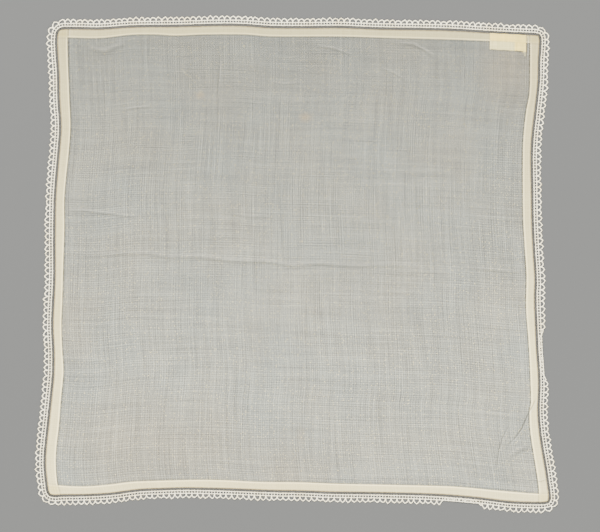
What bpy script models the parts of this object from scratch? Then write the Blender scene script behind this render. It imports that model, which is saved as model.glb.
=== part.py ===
"""Square lawn handkerchief lying flat, with a narrow hem, a crochet edging and a sewn tape.

The frame: X runs along the top side, Y up the cloth, Z up from the surface that it lies on.
The sides are walked clockwise, so the left hand of the walk points outward everywhere.
"""

import bisect
import math
import random

import bpy
from mathutils import Vector
from mathutils.geometry import delaunay_2d_cdt
from mathutils.geometry import intersect_line_line_2d

MM = 0.001

# Thicknesses and steps of the cloth, in millimetres
GROUND_THICKNESS = 1.0
HEM_RISE = 0.5
HEM_EDGE_SHARE = 0.65
HEM_ROUNDING = 0.5
HEM_STEP = 0.4
PIECE_GAP = 0.35

# Offsets from the edge line (the middle of the crochet's square mesh row), outward positive
HEM_FOLD_OFFSET = -2.8
FOOT_CHAIN_OFFSET = -1.0
HEAD_CHAIN_OFFSET = 1.0
ARCH_VALLEY_REACH = 2.95
ARCH_SHOULDER_REACH = 3.75
ARCH_TIP_REACH = 4.1
FOLDED_REACH = 1.35

# The arches are drawn in a little along the top side, above this height up the cloth
TOP_REACH_SHARE = 0.92
TOP_SIDE_BEGINS = 140.0
TOP_SIDE_BLEND = 12.0

# Heights of the crochet edging, in millimetres
OPENWORK_HEIGHT = 1.0
CHAIN_HEIGHT = 1.4
MESH_HEIGHT = 1.1
ARCH_EDGE_HEIGHT = 1.05
FOLDED_EXTRA_HEIGHT = 0.45

# Repeats of the edging
ARCH_COUNT = 340
ARCH_SEED = 340
ARCH_IRREGULARITY = 0.18
TURN_PER_COLUMN = math.radians(11.0)

# One arch. Columns: share of the arch's width, reach from the edge line
ARCH_SHAPE = (
    (0.0, ARCH_VALLEY_REACH),
    (0.24, ARCH_SHOULDER_REACH),
    (0.5, ARCH_TIP_REACH),
    (0.76, ARCH_SHOULDER_REACH),
)

# Spacing of the mesh's own points, in millimetres
LINE_PITCH = 6.0
GROUND_PITCH = 15.0
GROUND_CLEARANCE = 4.0
UNDERSIDE_PITCH = 30.0
UNDERSIDE_CLEARANCE = 8.0
FIELD_HALF = 165.0

# Edge line, top side left to right. Columns: x, y
TOP_EDGE = (
    (-147.0, 155.4),
    (-128.0, 155.2),
    (-108.0, 156.5),
    (-79.0, 156.9),
    (-47.0, 157.6),
    (-33.0, 157.3),
    (-17.0, 156.2),
    (5.0, 156.0),
    (28.0, 156.2),
    (51.0, 155.3),
    (99.0, 154.4),
    (132.0, 152.5),
)
UPPER_RIGHT_CORNER = (
    (150.0, 151.7),
    (155.5, 151.4),
    (158.7, 150.3),
    (160.1, 147.6),
    (160.3, 143.5),
)
# Edge line, right side downward. Columns: x, y
RIGHT_EDGE = (
    (159.6, 133.0),
    (159.2, 118.0),
    (157.3, 100.0),
    (155.4, 84.0),
    (154.7, 72.0),
    (155.0, 48.0),
    (155.3, 27.0),
    (156.2, 8.0),
    (157.3, -10.0),
    (157.0, -22.0),
    (157.7, -42.0),
    (158.4, -57.0),
    (159.3, -69.0),
    (159.6, -80.0),
    (159.1, -95.0),
    (159.8, -106.0),
    (161.0, -115.5),
    (164.1, -134.0),
    (165.7, -145.0),
)
LOWER_RIGHT_CORNER = (
    (166.3, -150.0),
    (166.1, -153.7),
    (164.5, -156.3),
    (161.5, -157.3),
)
# Edge line, bottom side right to left. Columns: x, y
BOTTOM_EDGE = (
    (154.0, -157.5),
    (138.0, -156.9),
    (119.0, -154.6),
    (99.0, -152.8),
    (83.0, -151.9),
    (50.0, -151.1),
    (20.0, -150.7),
    (2.0, -150.0),
    (-14.0, -149.8),
    (-47.0, -148.6),
    (-73.0, -148.1),
    (-88.0, -148.5),
    (-102.0, -149.1),
    (-121.0, -151.5),
    (-137.0, -152.4),
    (-152.0, -152.6),
)
LOWER_LEFT_CORNER = (
    (-158.0, -152.9),
    (-161.8, -151.8),
    (-163.9, -149.0),
    (-164.9, -143.7),
)
# Edge line, left side upward. Columns: x, y
LEFT_EDGE = (
    (-166.1, -131.0),
    (-165.8, -121.0),
    (-164.1, -105.0),
    (-162.3, -88.0),
    (-160.7, -72.0),
    (-160.5, -56.0),
    (-161.2, -40.0),
    (-159.9, -10.0),
    (-159.9, 20.0),
    (-159.5, 42.0),
    (-158.5, 57.0),
    (-157.0, 74.0),
    (-156.0, 89.0),
    (-157.1, 107.0),
    (-157.4, 123.0),
    (-158.4, 138.0),
)
UPPER_LEFT_CORNER = (
    (-158.6, 146.5),
    (-157.6, 151.8),
    (-154.3, 154.8),
)

# Inner edge of each hem, carried on across the corner squares. Columns: along, across
TOP_HEM = (
    (-166.0, 147.2),
    (-150.0, 147.2),
    (-128.0, 146.9),
    (-108.0, 149.0),
    (-92.0, 149.2),
    (-79.0, 148.5),
    (-60.0, 149.2),
    (-34.0, 149.2),
    (-17.0, 148.0),
    (28.0, 147.9),
    (60.0, 147.0),
    (100.0, 145.9),
    (125.0, 144.9),
    (148.0, 143.7),
    (170.0, 143.3),
)
RIGHT_HEM = (
    (165.0, 151.7),
    (122.0, 151.7),
    (110.0, 151.2),
    (100.0, 149.3),
    (85.0, 147.6),
    (72.0, 147.0),
    (30.0, 147.2),
    (10.0, 148.3),
    (-8.0, 149.4),
    (-28.0, 149.1),
    (-49.0, 150.6),
    (-69.0, 151.7),
    (-90.6, 152.3),
    (-94.6, 151.4),
    (-104.0, 151.5),
    (-113.0, 152.4),
    (-137.0, 156.2),
    (-147.0, 157.4),
    (-166.0, 157.8),
)
BOTTOM_HEM = (
    (175.0, -149.8),
    (156.0, -149.6),
    (132.0, -147.7),
    (112.0, -145.8),
    (98.0, -144.8),
    (67.0, -144.0),
    (25.0, -143.1),
    (0.0, -142.2),
    (-24.0, -142.0),
    (-47.0, -140.9),
    (-64.0, -140.6),
    (-92.0, -141.3),
    (-108.0, -142.0),
    (-122.0, -143.7),
    (-138.0, -144.9),
    (-154.0, -144.3),
    (-175.0, -142.0),
)
LEFT_HEM = (
    (-166.0, -150.0),
    (-150.0, -154.2),
    (-142.0, -156.1),
    (-131.0, -157.0),
    (-120.0, -156.7),
    (-105.0, -155.0),
    (-88.0, -153.7),
    (-70.0, -152.1),
    (-55.0, -152.9),
    (-40.0, -153.4),
    (-23.0, -152.8),
    (2.0, -152.1),
    (22.0, -151.5),
    (42.0, -151.5),
    (58.0, -150.2),
    (74.0, -148.5),
    (90.0, -147.5),
    (107.0, -148.2),
    (142.0, -149.4),
    (166.0, -149.0),
)

# Stretches where the arches lie folded under the mesh row.
# Columns: side, begins, folded from, folded to, ends (along the side)
FOLDED_STRETCHES = (
    ("right", -40.0, -50.0, -68.0, -79.0),
    ("bottom", 122.5, 115.0, 97.0, 92.5),
)
SIDE_BEGINS = 120.0

# Soft creases of the ground and the tuck across the right hem.
# Columns: name, height, width to the left of the walk, width to its right, points
CREASES = (
    ("middle_fold", 0.45, 2.2, 2.6,
     ((-145.0, 4.6), (-134.0, 5.2), (-112.0, 6.5), (-97.0, 6.5), (-82.5, 4.3), (-63.0, 4.5),
      (-43.5, 2.0), (-21.0, 1.6), (-2.5, -1.3), (15.0, 0.0), (34.5, -1.3), (62.0, -0.6),
      (80.0, -1.4))),
    ("middle_fold_echo", 0.35, 1.6, 1.6,
     ((-6.0, 3.4), (15.0, 4.4), (31.0, 5.4), (51.0, 4.8), (64.0, 3.6))),
    ("middle_fold_right", 0.35, 1.8, 2.4,
     ((108.0, -2.2), (125.5, -3.9), (138.5, -5.2), (147.6, -5.2))),
    ("left_pleat", 0.35, 1.6, 2.4,
     ((-149.4, 34.6), (-137.5, 34.5), (-121.5, 32.5), (-105.0, 30.6))),
    ("inner_pleat", 0.25, 1.4, 2.0,
     ((-43.0, 32.0), (-30.5, 30.6), (-16.0, 30.6))),
    ("upper_left_pleat", 0.30, 1.4, 2.2,
     ((-116.0, 99.3), (-105.0, 101.4), (-95.0, 102.2))),
    ("corner_wave", 0.35, 2.6, 2.6,
     ((-136.5, 140.2), (-125.5, 137.8), (-111.5, 143.2))),
    ("upright_pinch", 0.30, 1.4, 1.4,
     ((-50.0, 133.0), (-50.7, 120.0), (-51.7, 107.5))),
    ("upper_pinch", 0.20, 1.2, 1.8,
     ((-19.5, 118.4), (-8.0, 117.0), (3.0, 117.8))),
    ("top_pleat", 0.35, 1.4, 2.4,
     ((12.5, 141.8), (24.5, 139.8), (36.5, 135.6))),
    ("top_arc", 0.35, 1.6, 2.6,
     ((66.0, 143.2), (75.5, 142.6), (82.5, 139.1), (89.0, 134.8))),
    ("upper_right_pleat", 0.25, 1.4, 1.8,
     ((53.5, 127.6), (62.5, 124.2), (71.0, 119.2))),
    ("tuck", 0.90, 1.1, 3.0,
     ((155.5, -87.6), (153.2, -92.4), (150.6, -97.0), (146.3, -107.0), (142.0, -113.0),
      (136.8, -118.2))),
    ("tuck_echo", 0.45, 1.0, 2.2,
     ((138.0, -104.6), (133.9, -112.5), (131.3, -121.0), (129.8, -133.5))),
    ("tuck_hollow", 0.40, 2.4, 1.6,
     ((138.4, -124.6), (144.5, -121.0), (151.4, -118.4))),
)

# Sewn tape: its corners, the start of its doubled end and the tail below that end
TAPE_LEFT = 125.3
TAPE_RIGHT = 148.9
TAPE_TOP_LEFT = 150.0
TAPE_HEIGHT = 10.7
TAPE_SLOPE = -0.055
TAPE_FOLD_START = 141.2
TAPE_TAIL_WIDTH = 1.6
TAPE_TAIL_LENGTH = 3.1
TAPE_THICKNESS = 1.0
TAPE_FOLD_RISE = 0.4
TAPE_FOLD_STEP = 0.4


def clear_scene():
    """Remove every object that the file opened with."""
    for item in list(bpy.data.objects):
        bpy.data.objects.remove(item, do_unlink=True)


def fabric_material(name, colour, roughness):
    """Return one Principled material of a plain dyed or bleached thread."""
    material = bpy.data.materials.new(name)
    material.use_nodes = True
    shader = material.node_tree.nodes["Principled BSDF"]
    shader.inputs["Base Color"].default_value = (colour[0], colour[1], colour[2], 1.0)
    shader.inputs["Roughness"].default_value = roughness
    shader.inputs["Metallic"].default_value = 0.0
    material.diffuse_color = (colour[0], colour[1], colour[2], 1.0)
    return material


def lawn_material():
    """Thin bleached lawn with its hem."""
    return fabric_material("white_lawn", (0.70, 0.69, 0.63), 0.90)


def crochet_material():
    """Ecru crochet cotton."""
    return fabric_material("crochet_cotton", (0.88, 0.86, 0.76), 0.85)


def tape_material():
    """Cream woven cotton tape."""
    return fabric_material("woven_tape", (0.76, 0.71, 0.58), 0.80)


class EdgeLine:
    """Closed smooth line through the edge points, measured along its length."""

    STEPS_PER_SPAN = 10

    def __init__(self):
        rows = (
            TOP_EDGE + UPPER_RIGHT_CORNER + RIGHT_EDGE + LOWER_RIGHT_CORNER
            + BOTTOM_EDGE + LOWER_LEFT_CORNER + LEFT_EDGE + UPPER_LEFT_CORNER
        )
        knots = [Vector(row) for row in rows]
        self.points = []
        for index in range(len(knots)):
            span = [knots[(index + shift) % len(knots)] for shift in (-1, 0, 1, 2)]
            for step in range(self.STEPS_PER_SPAN):
                self.points.append(smooth_span(span, step / self.STEPS_PER_SPAN))
        self.reached = [0.0]
        for index, point in enumerate(self.points):
            following = self.points[(index + 1) % len(self.points)]
            self.reached.append(self.reached[-1] + (following - point).length)
        self.length = self.reached[-1]

    def locate(self, station):
        """Return the segment that holds a station and the share of it that is passed."""
        station = station % self.length
        index = bisect.bisect_right(self.reached, station) - 1
        index = min(index, len(self.points) - 1)
        span = self.reached[index + 1] - self.reached[index]
        return index, (station - self.reached[index]) / span

    def point(self, station):
        """Return the point of the line at a station."""
        index, share = self.locate(station)
        following = self.points[(index + 1) % len(self.points)]
        return self.points[index].lerp(following, share)

    def outward(self, station):
        """Return the unit vector that points away from the cloth at a station."""
        reach = 0.8
        along = self.point(station + reach) - self.point(station - reach)
        along.normalize()
        return Vector((-along.y, along.x))

    def offset(self, station, distance):
        """Return the point that lies a distance outward of a station."""
        return self.point(station) + self.outward(station) * distance

    def turn(self, start, end):
        """Return how far the line turns between two stations, in radians."""
        return abs(self.outward(start).angle_signed(self.outward(end)))


def smooth_span(span, share):
    """Return a point between the middle two of four points, on a centripetal curve."""
    times = [0.0]
    for first, second in zip(span, span[1:]):
        times.append(times[-1] + math.sqrt((second - first).length))
    time = times[1] + (times[2] - times[1]) * share
    layer = list(span)
    for reaches in (((0, 1), (1, 2), (2, 3)), ((0, 2), (1, 3)), ((1, 2),)):
        blended = []
        for index, (low, high) in enumerate(reaches):
            weight = (time - times[low]) / (times[high] - times[low])
            blended.append(layer[index].lerp(layer[index + 1], weight))
        layer = blended
    return layer[0]


def side_value(table, along):
    """Return how far across a hem's inner edge lies at a place along its side."""
    rows = sorted(table)
    if along <= rows[0][0]:
        return rows[0][1]
    if along >= rows[-1][0]:
        return rows[-1][1]
    index = bisect.bisect_right([row[0] for row in rows], along) - 1
    index = min(index, len(rows) - 2)
    before = rows[max(index - 1, 0)]
    low = rows[index]
    high = rows[index + 1]
    after = rows[min(index + 2, len(rows) - 1)]
    span = high[0] - low[0]
    share = (along - low[0]) / span
    slope_low = (high[1] - before[1]) / (high[0] - before[0]) * span
    slope_high = (after[1] - low[1]) / (after[0] - low[0]) * span
    rise = high[1] - low[1]
    bend = slope_low + slope_high - 2.0 * rise
    return low[1] + share * (slope_low + share * (rise - slope_low - bend + share * bend))


def hem_depths(point):
    """Return how far a point lies past each hem's inner edge, toward the hem."""
    return (
        point.y - side_value(TOP_HEM, point.x),
        point.x - side_value(RIGHT_HEM, point.y),
        side_value(BOTTOM_HEM, point.x) - point.y,
        side_value(LEFT_HEM, point.y) - point.x,
    )


def hem_height(point):
    """Return the height of the cloth without its creases."""
    height = GROUND_THICKNESS
    for depth in hem_depths(point):
        height += HEM_RISE * min(max(depth / HEM_STEP, 0.0), 1.0)
    return height


def crease_rise(point):
    """Return how far the creases lift the cloth at a point."""
    rise = 0.0
    for _, height, left_width, right_width, points in CREASES:
        path = [Vector(row) for row in points]
        total = sum((b - a).length for a, b in zip(path, path[1:]))
        walked = 0.0
        nearest = None
        for start, end in zip(path, path[1:]):
            along = end - start
            share = max(0.0, min(1.0, (point - start).dot(along) / along.length_squared))
            away = point - (start + along * share)
            side = along.x * away.y - along.y * away.x
            place = (walked + along.length * share) / total
            if nearest is None or away.length < nearest[0]:
                nearest = (away.length, side, place)
            walked += along.length
        width = left_width if nearest[1] > 0.0 else right_width
        if nearest[0] < width:
            fade = math.sin(math.pi * min(max(nearest[2], 0.0), 1.0)) ** 0.5
            rise += height * fade * (1.0 - nearest[0] / width)
    return rise


def cloth_height(point):
    """Return the height of the cloth's upper face."""
    return hem_height(point) + crease_rise(point)


def crease_lines():
    """Return the crest and the two flanks of every crease as lists of points."""
    lines = []
    for _, _, left_width, right_width, points in CREASES:
        path = [Vector(row) for row in points]
        crest = []
        for start, end in zip(path, path[1:]):
            pieces = max(1, round((end - start).length / (2.0 * LINE_PITCH)))
            for piece in range(pieces):
                crest.append(start.lerp(end, piece / pieces))
        crest.append(path[-1])
        left = [crest[0]]
        right = [crest[0]]
        for index in range(1, len(crest) - 1):
            along = (crest[index + 1] - crest[index - 1]).normalized()
            aside = Vector((-along.y, along.x))
            left.append(crest[index] + aside * left_width)
            right.append(crest[index] - aside * right_width)
        left.append(crest[-1])
        right.append(crest[-1])
        lines.extend((crest, left, right))
    return lines


def hem_lines(ring):
    """Return the foot and the top of every hem's inner step, ending on the ring."""
    lines = []
    for table, is_level in ((TOP_HEM, True), (RIGHT_HEM, False),
                            (BOTTOM_HEM, True), (LEFT_HEM, False)):
        outward = 1.0 if table in (TOP_HEM, RIGHT_HEM) else -1.0
        low = min(row[0] for row in table)
        high = max(row[0] for row in table)
        count = round((high - low) / LINE_PITCH)
        for depth in (0.0, HEM_STEP):
            line = []
            for step in range(count + 1):
                along = low + (high - low) * step / count
                across = side_value(table, along) + outward * depth
                line.append(Vector((along, across) if is_level else (across, along)))
            lines.append(trim_to_ring(line, ring))
    return lines


def inside_ring(point, ring):
    """Return whether a point lies inside a closed ring."""
    inside = False
    previous = ring[-1]
    for corner in ring:
        if (corner.y > point.y) != (previous.y > point.y):
            share = (point.y - corner.y) / (previous.y - corner.y)
            if point.x < corner.x + share * (previous.x - corner.x):
                inside = not inside
        previous = corner
    return inside


def crossing(start, end, ring):
    """Return where a short segment crosses a ring."""
    previous = ring[-1]
    for corner in ring:
        met = intersect_line_line_2d(start, end, previous, corner)
        if met is not None:
            return met
        previous = corner
    return start.lerp(end, 0.5)


def trim_to_ring(line, ring):
    """Return the part of a line inside a ring, with its two ends on the ring."""
    held = [inside_ring(point, ring) for point in line]
    first = held.index(True)
    last = len(held) - 1 - held[::-1].index(True)
    start = crossing(line[first - 1], line[first], ring)
    end = crossing(line[last], line[last + 1], ring)
    return [start] + line[first:last + 1] + [end]


def scattered_points(ring, pitch, lines, clearance):
    """Return a staggered field of points inside a ring that keeps clear of some lines."""
    taken = []
    for line in lines:
        for start, end in zip(line, line[1:]):
            pieces = max(1, math.ceil((end - start).length / clearance))
            for piece in range(pieces + 1):
                taken.append(start.lerp(end, piece / pieces))
    field = []
    rows = int(2.0 * FIELD_HALF / pitch)
    for row in range(rows + 1):
        for column in range(rows + 2):
            shift = 0.5 * pitch if row % 2 else 0.0
            point = Vector((column * pitch - shift - FIELD_HALF, row * pitch - FIELD_HALF))
            if not inside_ring(point, ring):
                continue
            if all((point - other).length > clearance for other in taken):
                field.append(point)
    return field


def triangulate(outline, loops, lines, loose):
    """Triangulate inside an outline. The outline's points come first in the result."""
    points = []
    edges = []
    for loop in [outline] + loops:
        start = len(points)
        points.extend(loop)
        edges.extend((start + k, start + (k + 1) % len(loop)) for k in range(len(loop)))
    for line in lines:
        start = len(points)
        points.extend(line)
        edges.extend((start + k, start + k + 1) for k in range(len(line) - 1))
    points.extend(loose)
    found = delaunay_2d_cdt(points, edges, [], 1, 1e-4, True)
    placed, _, faces, origins, _, _ = found
    order = {}
    for index, sources in enumerate(origins):
        for source in sources:
            if source < len(outline):
                order[source] = index
    rank = [order[k] for k in range(len(outline))]
    on_outline = set(rank)
    rank += [k for k in range(len(placed)) if k not in on_outline]
    renumber = {old: new for new, old in enumerate(rank)}
    ordered = [Vector(placed[old]) for old in rank]
    turned = []
    for face in faces:
        corners = [renumber[k] for k in face]
        a, b, c = (ordered[k] for k in corners)
        if not inside_ring((a + b + c) / 3.0, outline):
            continue
        if (b - a).cross(c - a) < 0.0:
            corners.reverse()
        turned.append(corners)
    return ordered, turned


def make_object(name, vertices, faces, material):
    """Create one object from vertices in millimetres."""
    mesh = bpy.data.meshes.new(name)
    mesh.from_pydata([(x * MM, y * MM, z * MM) for x, y, z in vertices], [], faces)
    mesh.materials.append(material)
    mesh.update()
    item = bpy.data.objects.new(name, mesh)
    bpy.context.scene.collection.objects.link(item)
    return item


def closed_slab(name, upper, lower, count, material):
    """Join an upper and a lower sheet that share their first outline points."""
    upper_points, upper_faces = upper
    lower_points, lower_faces = lower
    shift = len(upper_points)
    faces = [tuple(face) for face in upper_faces]
    faces += [tuple(shift + k for k in reversed(face)) for face in lower_faces]
    for k in range(count):
        after = (k + 1) % count
        faces.append((k, shift + k, shift + after))
        faces.append((k, shift + after, after))
    return make_object(name, upper_points + lower_points, faces, material)


def column_stations(edge):
    """Return the stations of the edging's columns: one an arch, more round a corner."""
    pitch = edge.length / ARCH_COUNT
    stations = []
    for arch in range(ARCH_COUNT):
        start = arch * pitch
        parts = 1 + int(edge.turn(start, start + pitch) / TURN_PER_COLUMN)
        for part in range(parts):
            stations.append(start + pitch * part / parts)
    return stations


def folded_share(point):
    """Return how far the arches are folded under at a point: 0 none, 1 wholly."""
    share = 0.0
    for side, begins, full_from, full_to, ends in FOLDED_STRETCHES:
        if side == "right" and point.x > SIDE_BEGINS:
            along = point.y
        elif side == "bottom" and point.y < -SIDE_BEGINS:
            along = point.x
        else:
            continue
        if ends < along < begins:
            rising = (begins - along) / (begins - full_from)
            falling = (along - ends) / (full_to - ends)
            share = max(share, min(rising, falling, 1.0))
    return share * share * (3.0 - 2.0 * share)


def build_cloth(edge, stations):
    """The woven square with its turned hem, one solid."""
    outline = [edge.offset(station, HEM_FOLD_OFFSET) for station in reversed(stations)]
    ring = [edge.offset(station, HEM_FOLD_OFFSET - HEM_ROUNDING) for station in reversed(stations)]
    steps = hem_lines(ring)
    creases = crease_lines()
    lines = steps + creases + [ring]
    loose = scattered_points(ring, GROUND_PITCH, lines, GROUND_CLEARANCE)
    flat_points, upper_faces = triangulate(outline, [ring], steps + creases, loose)
    upper_points = []
    for index, point in enumerate(flat_points):
        height = cloth_height(point)
        if index < len(outline):
            height = hem_height(point) * HEM_EDGE_SHARE
        upper_points.append((point.x, point.y, height))
    loose = scattered_points(outline, UNDERSIDE_PITCH, [outline], UNDERSIDE_CLEARANCE)
    lower_flat, lower_faces = triangulate(outline, [], [], loose)
    lower_points = [(point.x, point.y, 0.0) for point in lower_flat]
    return closed_slab("cloth", (upper_points, upper_faces), (lower_points, lower_faces),
                       len(outline), lawn_material())


def bridge(first, second, first_places, second_places):
    """Fill the band between two closed rings whose points have places along the walk."""
    faces = []
    i = 0
    j = 0
    while i < len(first) or j < len(second):
        next_first = first_places[i + 1] if i + 1 < len(first) else first_places[0] + 1.0
        next_second = second_places[j + 1] if j + 1 < len(second) else second_places[0] + 1.0
        a = first[i % len(first)]
        b = second[j % len(second)]
        take_first = j >= len(second) or (i < len(first) and next_first <= next_second)
        if take_first:
            faces.append((a, first[(i + 1) % len(first)], b))
            i += 1
        else:
            faces.append((a, second[(j + 1) % len(second)], b))
            j += 1
    return faces


def reach_share(point):
    """Return the share of the arches' full reach that shows at a point of the edge line."""
    on_top = min(max((point.y - TOP_SIDE_BEGINS) / TOP_SIDE_BLEND, 0.0), 1.0)
    return 1.0 + (TOP_REACH_SHARE - 1.0) * on_top


def scallop_points(edge):
    """Return the outer points of the arches as place, x, y and folded share."""
    noise = random.Random(ARCH_SEED)
    pitch = edge.length / ARCH_COUNT
    result = []
    for arch in range(ARCH_COUNT):
        lean = noise.uniform(-ARCH_IRREGULARITY, ARCH_IRREGULARITY)
        swell = noise.uniform(-ARCH_IRREGULARITY, ARCH_IRREGULARITY)
        for share, reach in ARCH_SHAPE:
            is_valley = share == 0.0
            station = (arch + share) * pitch + (0.0 if is_valley else lean)
            base = edge.point(station)
            folded = folded_share(base)
            full = reach * reach_share(base) + (0.0 if is_valley else swell)
            distance = full + (FOLDED_REACH - full) * folded
            spot = edge.offset(station, distance)
            result.append((station / edge.length, spot.x, spot.y, folded))
    return result


def build_lace(edge, stations):
    """The crochet edging worked in the round, one closed ring."""
    places = [station / edge.length for station in stations]
    vertices = []

    def add_ring(offset, height):
        """Add one ring of vertices along the edge line and return their numbers."""
        start = len(vertices)
        for station in stations:
            spot = edge.offset(station, offset)
            lift = FOLDED_EXTRA_HEIGHT * folded_share(edge.point(station))
            vertices.append((spot.x, spot.y, height + lift if height > 0.0 else 0.0))
        return list(range(start, len(vertices)))

    foot_offset = HEM_FOLD_OFFSET + PIECE_GAP
    columns = (
        (foot_offset, OPENWORK_HEIGHT),
        (FOOT_CHAIN_OFFSET, CHAIN_HEIGHT),
        (0.0, MESH_HEIGHT),
        (HEAD_CHAIN_OFFSET, CHAIN_HEIGHT),
    )
    rings = [add_ring(offset, height) for offset, height in columns]
    base_ring = add_ring(foot_offset, 0.0)
    scallops = scallop_points(edge)
    scallop_places = [row[0] for row in scallops]
    top_start = len(vertices)
    for _, x, y, folded in scallops:
        height = ARCH_EDGE_HEIGHT + FOLDED_EXTRA_HEIGHT * folded
        vertices.append((x, y, height))
    top_edge = list(range(top_start, len(vertices)))
    base_start = len(vertices)
    for _, x, y, _ in scallops:
        vertices.append((x, y, 0.0))
    base_edge = list(range(base_start, len(vertices)))

    faces = []
    for inner, outer in zip(rings, rings[1:]):
        faces += bridge(inner, outer, places, places)
    faces += bridge(rings[-1], top_edge, places, scallop_places)
    faces += bridge(top_edge, base_edge, scallop_places, scallop_places)
    faces += bridge(base_edge, base_ring, scallop_places, places)
    faces += bridge(base_ring, rings[0], places, places)
    return make_object("lace_edging", vertices, faces, crochet_material())


def tape_columns():
    """Return the places along the tape where its height or its outline changes."""
    middle = 0.5 * (TAPE_LEFT + TAPE_FOLD_START)
    fold_end = TAPE_FOLD_START + TAPE_FOLD_STEP
    return (TAPE_LEFT, middle, TAPE_FOLD_START, fold_end, TAPE_RIGHT - TAPE_TAIL_WIDTH, TAPE_RIGHT)


def tape_rows(x):
    """Return the places down the tape at x: top, the hem's step, bottom, end of the tail."""
    top = TAPE_TOP_LEFT + TAPE_SLOPE * (x - TAPE_LEFT)
    step = side_value(TOP_HEM, x)
    bottom = top - TAPE_HEIGHT
    return (top, step + HEM_STEP, step, bottom, bottom - TAPE_TAIL_LENGTH)


def build_tape():
    """The blank woven tape sewn over the hem at the upper right, its right end doubled."""
    columns = tape_columns()
    row_count = len(tape_rows(TAPE_LEFT))
    upper = []
    lower = []
    for x in columns:
        for y in tape_rows(x):
            under = hem_height(Vector((x, y))) + PIECE_GAP
            fold = min(max((x - TAPE_FOLD_START) / TAPE_FOLD_STEP, 0.0), 1.0)
            lower.append((x, y, under))
            upper.append((x, y, under + TAPE_THICKNESS + TAPE_FOLD_RISE * fold))
    cells = []
    for column in range(len(columns) - 1):
        holds_tail = column == len(columns) - 2
        for row in range(row_count - 1 if holds_tail else row_count - 2):
            corner = column * row_count + row
            cells.append((corner, corner + 1, corner + row_count + 1, corner + row_count))
    return sheet_slab("label", upper, lower, cells, tape_material())


def sheet_slab(name, upper, lower, faces, material):
    """Thicken one sheet between an upper and a lower layer and close its border."""
    used = sorted({corner for face in faces for corner in face})
    place = {old: new for new, old in enumerate(used)}
    shift = len(used)
    top = [tuple(place[corner] for corner in face) for face in faces]
    sides = {(a, b) for face in top for a, b in zip(face, face[1:] + face[:1])}
    solid = list(top)
    solid += [tuple(shift + corner for corner in reversed(face)) for face in top]
    for a, b in sorted(sides):
        if (b, a) not in sides:
            solid.append((a, shift + a, shift + b, b))
    vertices = [upper[old] for old in used] + [lower[old] for old in used]
    return make_object(name, vertices, solid, material)


def centre_pieces(pieces):
    """Move all pieces together so that the middle of their box is at the origin."""
    low = [min(v.co[axis] for p in pieces for v in p.data.vertices) for axis in (0, 1)]
    high = [max(v.co[axis] for p in pieces for v in p.data.vertices) for axis in (0, 1)]
    middle = [0.5 * (a + b) for a, b in zip(low, high)]
    for piece in pieces:
        for vertex in piece.data.vertices:
            vertex.co.x -= middle[0]
            vertex.co.y -= middle[1]
        piece.data.update()
    return middle


def main():
    """Build the cloth, its edging and its tape."""
    clear_scene()
    edge = EdgeLine()
    stations = column_stations(edge)
    pieces = [build_cloth(edge, stations), build_lace(edge, stations), build_tape()]
    middle = centre_pieces(pieces)
    print("middle of the tables, in mm:", [round(value / MM, 3) for value in middle])
    for piece in pieces:
        piece.data.calc_loop_triangles()
        print(piece.name, len(piece.data.loop_triangles), "triangles")


main()
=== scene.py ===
"""Looks of a sheer lawn handkerchief with a narrow hem, a crochet edging and a blank tape."""

import logging
import math
from dataclasses import dataclass
from dataclasses import fields
from enum import Enum

import bpy
import numpy as np
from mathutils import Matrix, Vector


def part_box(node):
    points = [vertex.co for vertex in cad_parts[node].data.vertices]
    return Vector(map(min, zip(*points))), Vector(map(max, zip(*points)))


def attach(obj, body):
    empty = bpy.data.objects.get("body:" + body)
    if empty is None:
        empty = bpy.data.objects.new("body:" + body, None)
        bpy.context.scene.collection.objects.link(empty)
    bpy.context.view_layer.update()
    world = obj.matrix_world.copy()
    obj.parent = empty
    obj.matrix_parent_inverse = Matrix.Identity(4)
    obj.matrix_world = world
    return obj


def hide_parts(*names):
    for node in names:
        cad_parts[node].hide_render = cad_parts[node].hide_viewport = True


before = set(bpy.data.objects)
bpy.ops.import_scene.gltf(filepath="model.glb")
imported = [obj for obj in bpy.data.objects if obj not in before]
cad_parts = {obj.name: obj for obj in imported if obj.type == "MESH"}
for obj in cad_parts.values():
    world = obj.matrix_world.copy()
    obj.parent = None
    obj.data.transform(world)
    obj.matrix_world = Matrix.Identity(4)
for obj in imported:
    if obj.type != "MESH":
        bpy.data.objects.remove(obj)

Rows = tuple[tuple[float, ...], ...]
Inputs = dict[str | int, object]

LOG = logging.getLogger("handkerchief")

MM = 0.001
ROOT = "root"

# The tables below are the part's own, in millimetres, in the photograph's frame. Offsets from
# the edge line, the middle of the crochet's square mesh row, are positive outward.
HEM_FOLD_OFFSET = -2.8
ARCH_COUNT = 340
# How far to each side of a station the direction of a line is taken
NORMAL_REACH = 0.8

# Edge line, top side left to right. Columns: x, y
TOP_EDGE: Rows = (
    (-147.0, 155.4), (-128.0, 155.2), (-108.0, 156.5), (-79.0, 156.9), (-47.0, 157.6),
    (-33.0, 157.3), (-17.0, 156.2), (5.0, 156.0), (28.0, 156.2), (51.0, 155.3), (99.0, 154.4),
    (132.0, 152.5),
)
UPPER_RIGHT_CORNER: Rows = (
    (150.0, 151.7), (155.5, 151.4), (158.7, 150.3), (160.1, 147.6), (160.3, 143.5),
)
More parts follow.
